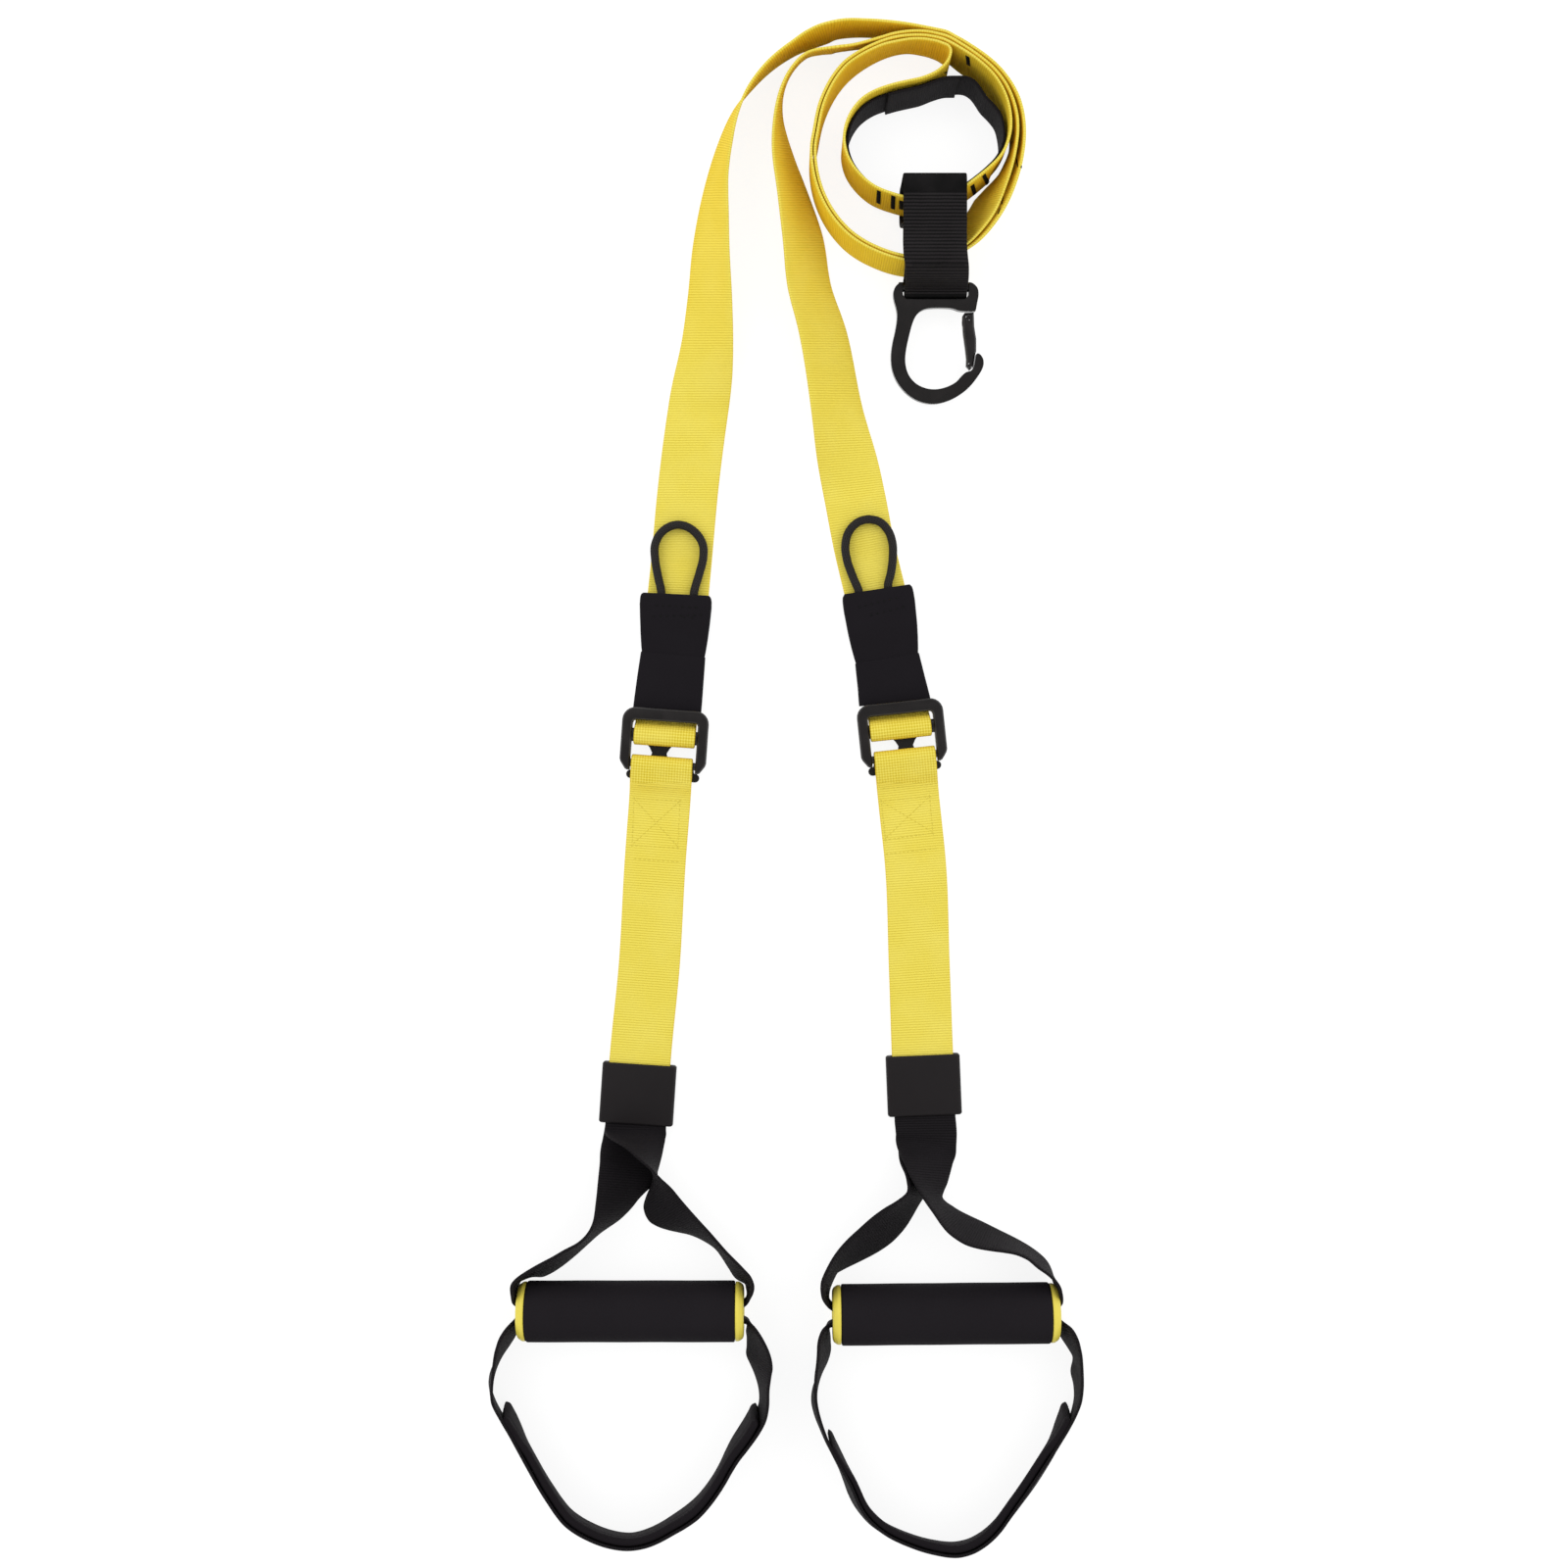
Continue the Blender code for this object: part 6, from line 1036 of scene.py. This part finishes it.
def softened(node, body, slot, width):
    """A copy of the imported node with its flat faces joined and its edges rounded."""
    copy = merged(node)
    bmesh.ops.dissolve_limit(copy, angle_limit=math.radians(LEVEL_DEG), verts=copy.verts, edges=copy.edges)
    mesh = bpy.data.meshes.new(node + "_softened")
    copy.to_mesh(mesh)
    copy.free()
    mesh.materials.clear()
    mesh.materials.append(CARRIED[slot])
    mesh.polygons.foreach_set("use_smooth", np.ones(len(mesh.polygons), bool))
    piece = bpy.data.objects.new(node + "_softened", mesh)
    scene.collection.objects.link(piece)
    edges = piece.modifiers.new("edges", "BEVEL")
    edges.width = width
    edges.segments = 3
    edges.limit_method = "ANGLE"
    edges.angle_limit = math.radians(EDGE_DEG)
    edges.harden_normals = True
    dress(piece, body, node)
    print(f"{node}: edges rounded by {width * 1000:.1f} mm")


softened("carabiner_gate", "gate", "coated_metal", 0.0003)
for side in SIDES:
    softened(f"{side}_buckle_frame", "root", "coated_metal", 0.0005)
    softened(f"{side}_rubber_label", f"{side}_handle", "label_rubber", 0.0004)

# %% [markdown]
# ## The carabiner
#
# The carabiner's body is one flat bar bent into a hook, with a slot for the sling across its top.
# An outline with a Bevel modifier would give every edge the same rounding. The real one has a round
# edge, a narrow raised rim and a sunk face, so the outline from the picture is smoothed by cutting
# its corners again and again, and a section is carried along it.

# %% Outline of the carabiner
BODY_PX = [
    (988, 288.8), (990.6, 289.2), (993.4, 290.8), (997, 294.5), (998, 301), (996.5, 309), (995, 317.5),
    (994.4, 317.6), (979, 317.5), (973, 315), (966, 314), (950, 314), (942, 315.5), (935.5, 320), (931, 329),
    (927.5, 343), (924.5, 357), (923.8, 369), (927, 380.5), (934, 389), (944, 394.2), (956, 395.6),
    (968, 392.6), (977, 387.5), (981.5, 382), (986, 377.8), (991.5, 376.8), (994.3, 373), (995.5, 365),
    (996.5, 358.5), (1001, 360.5), (1004, 366), (1003.6, 373), (999.5, 380.5), (991, 392), (981, 400.5),
    (968, 407.3), (953, 410.5), (938, 407.5), (926, 400), (916.5, 389), (911, 377), (909.4, 364),
    (910.8, 350), (914, 337), (916, 323), (915, 315), (912.3, 307), (911.3, 299), (913.5, 292.6),
    (918, 289.2), (921, 288.8), (921, 289.6), (921, 300), (921.6, 302), (924, 305), (926, 305.6),
    (983, 305.6), (985, 305), (987.4, 302), (988, 300), (988, 289.6)]
BAR_PX = (953.5, 293)
TIP_PX = 410.5
BAR_HEIGHT = 0.0140
BODY_THICKNESS = 0.0085
BODY_ROUND = 0.0015
RIM_INSETS = (0.0019, 0.0026)
RIM_DEPTH = 0.0007
BODY_CUTS = 3
WIDEST_INSET = 0.01
ROOM_PASSES = 6
ROOM_STEP = 1e-4
ROOM_SHARE = 0.8
SLING_BAR_HALF_PX = 36.5
SLING_BAR_RADIUS = 0.003
SLING_BAR_ROUND = 0.0006
POLE_RADIUS = 0.0001


def cut_corners(outline, times):
    """Each corner replaced by the points a quarter and three quarters along its sides."""
    for _ in range(times):
        after = np.roll(outline, -1, axis=0)
        quarters = (outline * 0.75 + after * 0.25, outline * 0.25 + after * 0.75)
        outline = np.stack(quarters, axis=1).reshape(-1, 2)
    return outline


def room_inside(outline, inward):
    """A share of the largest inner circle that touches the outline at each point: d^2 / (2 d . n)."""
    apart = outline[None] - outline[:, None]
    ahead = np.sum(apart * inward[:, None], axis=2)
    radius = np.sum(apart ** 2, axis=2) / (2 * np.where(ahead > 1e-7, ahead, 1e-9))
    room = np.minimum(radius.min(axis=1), WIDEST_INSET)
    for _ in range(ROOM_PASSES):
        room = np.minimum(room, (np.roll(room, 1) + np.roll(room, -1)) / 2 + ROOM_STEP)
    return room * ROOM_SHARE


# %% [markdown]
# ## The hook with its rim
#
# The section runs round the edge, over the rim and down onto the sunk face, on both sides. In the
# hook's narrow nose the rim would overlap itself, so no point goes deeper than most of the way to
# the middle there. The bar that the sling goes round is a turned piece of its own.

# %% Section of the carabiner


def carabiner_body():
    """Outline + depth inward, w up, both tilted about the bar so that the tip rests on the floor."""
    scale = (CAMERA_HEIGHT - BAR_HEIGHT / 2) / FOCAL_PX
    outline = cut_corners((np.array(BODY_PX) - BAR_PX) * (scale, -scale), BODY_CUTS)
    half = BODY_THICKNESS / 2
    tilt = math.asin((BAR_HEIGHT - half) / ((TIP_PX - BAR_PX[1]) * scale - BODY_ROUND))
    forward = np.roll(outline, -2, axis=0) - np.roll(outline, 2, axis=0)
    area = np.sum(outline[:, 0] * np.roll(outline[:, 1], -1) - outline[:, 1] * np.roll(outline[:, 0], -1))
    inward = unit(np.column_stack([-forward[:, 1], forward[:, 0]])) * np.sign(area)
    turn = np.radians(np.linspace(0, 90, 7))
    edge = np.column_stack([BODY_ROUND * (1 - np.cos(turn)), half - BODY_ROUND + BODY_ROUND * np.sin(turn)])
    rim = [(RIM_INSETS[0], half), (RIM_INSETS[1], half - RIM_DEPTH)]
    section = np.vstack([edge[::-1] * (1, -1), edge, rim])
    depth = np.minimum(section[:, None, :1], room_inside(outline, inward)[:, None])
    u, v = np.moveaxis(outline + inward * depth, 2, 0)
    w = np.repeat(section[:, 1:], len(outline), axis=1)
    start = seen(*BAR_PX, BAR_HEIGHT)
    grid = np.stack([start[0] + u, start[1] + v * math.cos(tilt) - w * math.sin(tilt),
                     start[2] + v * math.sin(tilt) + w * math.cos(tilt)], axis=-1)
    piece = shell("carabiner_frame", grid, METAL)
    for polygon in piece.data.polygons:
        if len(polygon.vertices) > 4:
            polygon.use_smooth = False
    dress(piece, "carabiner", "carabiner_body")
    reach = SLING_BAR_HALF_PX * scale
    bar_profile = rounded([(POLE_RADIUS, -reach), (SLING_BAR_RADIUS, -reach), (SLING_BAR_RADIUS, reach),
                           (POLE_RADIUS, reach)], SLING_BAR_ROUND)
    bar = turned("carabiner_bar", bar_profile, start, np.array([1.0, 0.0, 0.0]), METAL, 32)
    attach(bar, "carabiner")


carabiner_body()

# %% [markdown]
# ## Adjuster sleeves
#
# Each leg passes through a black sleeve that pushes along the strap. It is a flat tube of stitched
# webbing, with a crease at its waist, and fatter at the upper end, where a cord loop is sewn in. It
# could be a box that is bent and pinched by hand. Instead its middle line is read from the picture,
# and a short table says how high and how wide the tube is along its length.

# %% Line and section of the sleeves
SLEEVE_PX = {"left": [(680.2, 724.4), (683.4, 694), (686.5, 666), (688.4, 636), (689.8, 606.5)],
             "right": [(913.6, 716.4), (910.2, 697), (905.4, 670), (901.2, 643), (895, 601.5)]}
SLEEVE_HEADING = {"left": 4.0, "right": -6.0}
SLEEVE_FLARE = {"left": 1.0, "right": 1.05}
SLEEVE_WIDTH = 0.0424
SLEEVE_WALL = 0.0012
SLEEVE_CORNER = 0.0018
SLEEVE_SIGHT = 0.0100
LOW_CEILING = 0.0059
HIGH_CEILING = 0.0116
SLEEVE_SHARES = [(0.0, 0.0, 1.0), (0.08, 0.0, 0.995), (0.30, 0.02, 0.97), (0.46, 0.06, 0.95),
                 (0.487, 0.08, 0.945), (0.492, 0.0, 0.925), (0.505, 0.02, 0.93), (0.53, 0.10, 0.945),
                 (0.64, 0.35, 0.985), (0.78, 0.8, 1.02), (0.90, 1.0, 1.045), (0.96, 1.0, 1.04),
                 (0.985, 0.98, 1.02), (1.0, 0.9, 0.97)]
CREASE_SHARES = [0.486, 0.488, 0.49, 0.492, 0.495, 0.975, 0.985, 0.994]


def sleeve_line(side, shares):
    """Spots up the middle of the sleeve and the directions across it."""
    spots = np.array([seen(px, py, SLEEVE_SIGHT)[:2] for px, py in SLEEVE_PX[side]])
    forward = np.gradient(spots, axis=0)
    across = unit(np.column_stack([forward[:, 1], -forward[:, 0]]))
    heading = math.radians(-SLEEVE_HEADING[side])
    across[0] = (math.cos(heading), math.sin(heading))
    places = np.linspace(0, 1, len(spots))
    return read_off(shares, places, spots), unit(read_off(shares, places, across))


def rounded_outline(half, low, high, corner, steps=7):
    """Corners of a rectangle turned by quarter circles, for arrays of half widths and heights."""
    turn = np.radians(np.linspace(0, 90, steps))
    xs, zs = [], []
    for start, sx, sz in ((0, 1, 1), (90, -1, 1), (180, -1, -1), (270, 1, -1)):
        angle = turn + math.radians(start)
        xs.append(sx * (half - corner)[:, None] + corner * np.cos(angle))
        middle = high - corner if sz > 0 else low + corner
        zs.append(middle[:, None] + corner * np.sin(angle))
    return np.concatenate(xs, axis=1), np.concatenate(zs, axis=1)


# %% [markdown]
# ## Two skins and two mouths
#
# The outer skin goes up the tube and the inner one comes back down inside it. Laid one after the
# other they are a single closed grid, whose ends meet at the mouths without a seam. A Solidify
# modifier would make the wall too, but its thickness would vary at the crease.

# %% Skins of the sleeves


def adjuster_sleeve(side):
    """Outer and inner skins of a flat tube, joined at both mouths into one closed surface."""
    shares = np.unique(np.concatenate([np.linspace(0, 1, 60), CREASE_SHARES]))
    table = np.array(SLEEVE_SHARES)
    bulge, wide = read_off(shares, table[:, 0], table[:, 1:]).T
    flare = 1 + (SLEEVE_FLARE[side] - 1) * np.maximum(0, 1 - shares * 2)
    half = SLEEVE_WIDTH / 2 * wide * flare
    ceiling = LOW_CEILING + (HIGH_CEILING - LOW_CEILING) * bulge
    spot, way = sleeve_line(side, shares)
    zero = np.zeros(len(shares))
    skins, acrosses = [], []
    for shrink, corner in ((0.0, SLEEVE_CORNER), (SLEEVE_WALL, SLEEVE_CORNER - SLEEVE_WALL)):
        x, z = rounded_outline(half - shrink, zero + shrink, ceiling + SLEEVE_WALL - shrink, corner)
        skins.append(np.concatenate([spot[:, None] + x[..., None] * way[:, None], z[..., None]], axis=2))
        acrosses.append(x)
    grid = np.concatenate([skins[0], skins[1][::-1]])
    across = np.concatenate([acrosses[0], acrosses[1][::-1]])
    rise = shares * np.linalg.norm(spot[-1] - spot[0])
    along = np.concatenate([rise, rise[::-1]])
    piece = shell(f"{side}_sleeve_webbing", grid, SLEEVE_CLOTH, True, across, along)
    dress(piece, "root", f"{side}_adjuster_sleeve")
    return piece


for side in SIDES:
    dressed[f"{side}_sleeve"] = adjuster_sleeve(side)

# %% [markdown]
# ## Cord loops
#
# The loop that a finger pulls is a 5 mm braided cord. It leaves the sleeve, rounds a teardrop and goes back in. A
# curve object with a round bevel would do, but its braid has to follow the cord, so a circle is carried along a
# smooth curve through points read from the picture.

# %% Pull cords
CORD_PX = {"left": [(674.8, 605), (671.6, 589), (668.4, 570), (668.2, 557), (673.4, 545.2),
                    (682, 538), (692, 535.4), (702, 538), (711, 545), (717.2, 556), (717.6, 569),
                    (713.4, 586), (708, 606)],
           "right": [(876.6, 604.6), (870, 588), (864.4, 572), (862.6, 557), (866, 543),
                     (874.4, 533.6), (886, 530), (898, 532.8), (906.2, 541.4), (910.6, 554),
                     (911, 569), (909, 585), (906, 598.6)]}
CORD_DIAMETER = 0.0052
CORD_HELD = 0.00825
CORD_LYING = 0.0053
CORD_ROWS = 180
CORD_COLUMNS = 20


def pull_cord(side):
    """A circle carried along a smooth curve: line + r (cos a beside + sin a above)."""
    last = len(CORD_PX[side]) - 1
    spots = [seen(px, py, CORD_HELD + (CORD_LYING - CORD_HELD) * min(1.0, min(index, last - index) / 4))
             for index, (px, py) in enumerate(CORD_PX[side])]
    ends = sleeve_line(side, np.array([0.8, 1.0]))[0]
    down = np.append(ends[0] - ends[1], 0)
    down *= CORD_DIAMETER / np.linalg.norm(down)
    spots = np.array([spots[0] + down * 2, spots[0] + down, *spots, spots[-1] + down, spots[-1] + down * 2])
    knots = run(spots)
    places = np.linspace(0, knots[-1], CORD_ROWS)
    line = hermite(spots, knots, places)
    forward = unit(np.gradient(line, axis=0))
    beside = unit(np.cross(forward, (0, 0, 1)))
    above = np.cross(beside, forward)
    turn = turns(CORD_COLUMNS)
    round_line = np.cos(turn)[:, None] * beside[:, None] + np.sin(turn)[:, None] * above[:, None]
    around = np.repeat((np.minimum(turn, math.tau - turn) / math.pi)[None], CORD_ROWS, axis=0)
    piece = shell(f"{side}_cord", line[:, None] + CORD_DIAMETER / 2 * round_line, CORD, False, around, places)
    dress(piece, "root", f"{side}_pull_cord")


for side in SIDES:
    pull_cord(side)

# %% [markdown]
# ## Foot pads
#
# The inside of each cradle is lined with a neoprene pad. It is fuller in the middle of its height
# than at its edges, and two rows of stitching draw it in near the top and the bottom. Cloth filled
# with air gives such a swell too, but not its even edges, so the section is a superellipse, which
# is a rectangle with soft corners in one formula.

# %% Section of the pads
PAD_COLUMNS = 44
PAD_POWER = 2 / 5


def pad_section():
    """A superellipse |x|^5 + |z|^5 = 1, that fills most of its rectangle."""
    turn = (np.arange(PAD_COLUMNS) + 0.5) * math.tau / PAD_COLUMNS
    return [np.sign(wave) * np.abs(wave) ** PAD_POWER for wave in (np.cos(turn), np.sin(turn))]


# %% [markdown]
# ## Pads along the cradles
#
# A pad is sewn to the inner face of its strap, so it starts and stops at the points of the strap
# that are nearest two pixels. The strap's own directions carry the section. Towards both ends it is
# turned upright and tapers off, as the real pads do, which a plain copy of the strap wouldn't.

# %% Pads
PAD_ENDS_PX = {"left": ((514, 1452), (778, 1454)), "right": ((848, 1478), (1094, 1451))}
PAD_START_SHARE = {"left": 1.0, "right": 0.62}
PAD_MIDDLE_PX = {"left": (640, 1440), "right": (968, 1440)}
PAD_HEIGHT = 0.0350
PAD_THICKNESS = 0.0052
PAD_SEAT = 0.00045
PAD_CLEARANCE = GAP / 6
PAD_TAPER_SHARE = 0.012
PAD_END_SHARE = 0.08
PAD_END_LOSS = 0.03
PAD_UPRIGHT_PULL = 1.5
PAD_UPRIGHT_SHARE = 0.12
SEAM_PLACE_SHARE = 0.70
SEAM_WIDTH_SHARE = 0.05
SEAM_DEPTH = 0.0007


def cradle_pad(side):
    """The section carried beside the strap: middle + x normal + z upright, both turned at the ends."""
    strap = loops[f"{side}_cradle_strap"]
    tops = strap.middle + strap.across * (strap.width / 2)[:, None] * np.sign(strap.across[:, 2:])
    first, last = sorted(int(np.argmin(np.linalg.norm(tops[:, :2] - seen(px, py, STRAP_WIDTH)[:2], axis=1)))
                         for px, py in PAD_ENDS_PX[side])
    rows = np.arange(first, last + 1)
    middle, across = strap.middle[rows], strap.across[rows]
    share = (rows - first) / (last - first)
    to_end = np.minimum(share, 1 - share)
    from_left = share if middle[0, 0] < middle[-1, 0] else 1 - share
    start = PAD_START_SHARE[side]
    thick = PAD_THICKNESS * (start + (1 - start) * smooth_step(from_left * 2)) + PAD_SEAT
    taper = 1 - (1 - np.clip(to_end / PAD_TAPER_SHARE, 0, 1)) ** 2
    taper = np.sqrt(np.clip(taper, PAD_END_SHARE, 1))[:, None]

    towards = seen(*PAD_MIDDLE_PX[side], STRAP_WIDTH)[:2] - middle[:, :2]
    inward = np.sign(np.sum(strap.normal[rows, :2] * towards, axis=1))
    at_end = smooth_step(1 - to_end / PAD_UPRIGHT_SHARE)[:, None]
    upright = unit(across * np.sign(across[:, 2:]) + at_end * np.array([0, 0, PAD_UPRIGHT_PULL]))
    normal = unit(np.cross(np.gradient(middle, axis=0), upright))
    normal *= np.sign(np.sum(normal * strap.normal[rows], axis=1))[:, None]
    lifted = middle + normal * ((strap.thick[rows] / 2 + PAD_CLEARANCE + thick / 2) * inward)[:, None]
    foot = middle[:, 2] - PAD_HEIGHT / 2 * upright[:, 2]
    lifted[:, 2] += np.maximum(0.0, GAP - foot)

    x, z = pad_section()
    seam = np.exp(-((np.abs(z) - SEAM_PLACE_SHARE) / SEAM_WIDTH_SHARE) ** 2)
    x_half = thick[:, None] * (x / 2 - np.sign(x) * seam * SEAM_DEPTH / PAD_THICKNESS) * taper
    z_half = PAD_HEIGHT / 2 * z * (1 - PAD_END_LOSS + PAD_END_LOSS * taper)
    grid = lifted[:, None] + x_half[..., None] * normal[:, None] + z_half[..., None] * upright[:, None]
    piece = shell(f"{side}_pad_neoprene", grid, NEOPRENE)
    dress(piece, f"{side}_cradle", f"{side}_cradle_pad")


for side in SIDES:
    cradle_pad(side)

# %% [markdown]
# ## Stitches
#
# A stitch is a short grain of thread that lies half sunk in the cloth. A texture could draw it, but
# it would be flat from the side. So each one is a small ball, stretched along the seam, with a few
# dozen faces, and the places of a seam are even steps along a line in the picture.

# %% Grains of thread
GRAIN_TURNS = 8
GRAIN_RINGS = 5


def grain():
    """Points of a unit ball as rings cos(b) (cos a, sin a) with sin(b), and its faces."""
    tilt = np.linspace(-math.pi / 2, math.pi / 2, GRAIN_RINGS + 2)[1:-1, None]
    turn = turns(GRAIN_TURNS)
    waves = (np.sin(tilt) + 0 * turn, np.cos(tilt) * np.cos(turn), np.cos(tilt) * np.sin(turn))
    ball = np.vstack([np.stack(waves, axis=-1).reshape(-1, 3), [(-1, 0, 0), (1, 0, 0)]])
    faces = grid_faces(GRAIN_RINGS, GRAIN_TURNS, False)[:, ::-1].tolist()
    last = (GRAIN_RINGS - 1) * GRAIN_TURNS
    for one in range(GRAIN_TURNS):
        two = (one + 1) % GRAIN_TURNS
        faces.append([one, GRAIN_RINGS * GRAIN_TURNS, two])
        faces.append([last + two, GRAIN_RINGS * GRAIN_TURNS + 1, last + one])
    return ball, faces


def pixels_along(route, pitch_px):
    """Pixels at an even pitch along a line of pixels."""
    route = np.array(route, float)
    knots = run(route)
    count = max(2, round(knots[-1] / pitch_px) + 1)
    return read_off(np.linspace(0, knots[-1], count), knots, route)


# %% [markdown]
# ## Setting the grains down
#
# The cloth's faces go into a tree that answers quickly where a ray first meets them. The spot and
# the cloth's normal there say where a grain lies and which way is up, and the line of the seam says
# which way it points. Hundreds of small objects would be slow, so all of a seam's grains are one
# mesh that rides with the strap it is sewn into.

# %% Sewing with rays


def on_surface(piece, pixels):
    """Where rays from the camera through the pixels first meet a piece, and its normals there."""
    mesh = piece.data
    tree = BVHTree.FromPolygons([vertex.co for vertex in mesh.vertices],
                                [polygon.vertices for polygon in mesh.polygons])
    eye = Vector((CAMERA_X, CAMERA_Y, CAMERA_HEIGHT))
    spots, normals = [], []
    for px, py in pixels:
        spot, normal, _, _ = tree.ray_cast(eye, (Vector(seen(px, py)) - eye).normalized())
        if spot is not None:
            spots.append(spot)
            normals.append(normal if normal.dot(eye - spot) > 0 else -normal)
    return np.array(spots), np.array(normals)


def stitched(name, piece, body, finish, routes, pitch_px, size, crosswise=False, sunk=0.3):
    """Grains of size (length, width, height) along lines of pixels, or across them."""
    ball, faces = grain()
    points, quads = [], []
    for route in routes:
        spots, normals = on_surface(piece, pixels_along(route, pitch_px))
        if len(spots) < 2:
            continue
        way = np.gradient(spots, axis=0)
        way = unit(way - normals * np.sum(way * normals, axis=1)[:, None])
        beside_way = np.cross(normals, way)
        if crosswise:
            way, beside_way = beside_way, -way
        for spot, ahead, beside, normal in zip(spots, way, beside_way, normals):
            base = len(points) * len(ball)
            middle = spot + normal * size[2] / 2 * (1 - 2 * sunk)
            points.append(middle + ball * size @ np.array([ahead, beside, normal]) / 2)
            quads += [[corner + base for corner in face] for face in faces]
    made = mesh_object(name, np.concatenate(points), quads, finish)
    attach(made, body)


# %% [markdown]
# ## Where the thread shows
#
# Black bar-tacks mark the inner turn of the coil. The upper ends of the handle straps are sewn with
# a box and a cross, and the cords' ends with two rows across each sleeve. Each seam is a line
# between two pixels of the picture, because that is how its place is known.

# %% Sewing
TACK_PX = [((897, 195), (896.4, 207)), ((911.6, 200), (911, 212.5)), ((920, 205), (919.6, 213)),
           ((992, 189), (995, 199.5)), ((1003.6, 178.5), (1008.6, 188.5)), ((987.4, 57.6), (988.4, 66))]
SMALL_TACK_PX = [((1037.6, 163), (1038.8, 170)), ((1042, 170), (1042.6, 174)), ((1023.6, 202), (1022.4, 208)),
                 ((1020.6, 213), (1018.8, 218)), ((964, 74), (968, 74.5))]
BOX_PX = {"left": [[(653, 802), (693, 804.4)], [(647, 814.6), (694, 817)], [(694, 817), (691.6, 865)],
                   [(691.6, 865), (645, 862.6)], [(645, 862.6), (647, 814.6)], [(649, 817), (690, 862)],
                   [(692, 819), (647, 860)], [(648, 876.4), (691, 879.4)]],
          "right": [[(902, 804.4), (950, 800.4)], [(899, 817), (948.6, 812.8)], [(948.6, 812.8), (952, 850)],
                    [(952, 850), (903.6, 857)], [(903.6, 857), (899, 817)], [(902, 819), (950, 848)],
                    [(946, 815), (905, 854)], [(905, 871.4), (953, 866)]]}
SLEEVE_ROWS_PX = {"left": [[(670, 617.6), (710, 619.6)], [(667, 629), (715.6, 627.6)],
                           [(698, 630), (706, 630.6)]],
                  "right": [[(877, 619.4), (915, 610)], [(889.3, 627.6), (921.4, 619.4)]]}
SLING_ROW_PX = [[(932, 267.6), (983, 268.6)], [(932, 270.2), (983, 271)]]
TACK_GRAIN = (0.0032, 0.00075, 0.00070)
SMALL_TACK_GRAIN = (0.0014, 0.00075, 0.00050)
SLING_GRAIN = (0.0014, 0.0005, 0.0005)
BOX_GRAIN = (0.0018, 0.00050, 0.00036)
SLEEVE_GRAIN = (0.0016, 0.0011, 0.0005)

stitched("coil_tacks", main_webbing, "root", BLACK_THREAD, TACK_PX, 0.9, TACK_GRAIN, True, 0.2)
stitched("coil_small_tacks", main_webbing, "root", BLACK_THREAD, SMALL_TACK_PX, 1.0, SMALL_TACK_GRAIN,
         True, 0.2)
stitched("sling_row", dressed["anchor_sling"], "root", BLACK_THREAD, SLING_ROW_PX, 2.6, SLING_GRAIN)
for side in SIDES:
    stitched(f"{side}_box_stitches", dressed[f"{side}_handle_strap"], f"{side}_handle", YELLOW_THREAD,
             BOX_PX[side], 4.6, BOX_GRAIN)
    stitched(f"{side}_sleeve_rows", dressed[f"{side}_sleeve"], "root", BLACK_THREAD,
             SLEEVE_ROWS_PX[side], 6.7, SLEEVE_GRAIN)
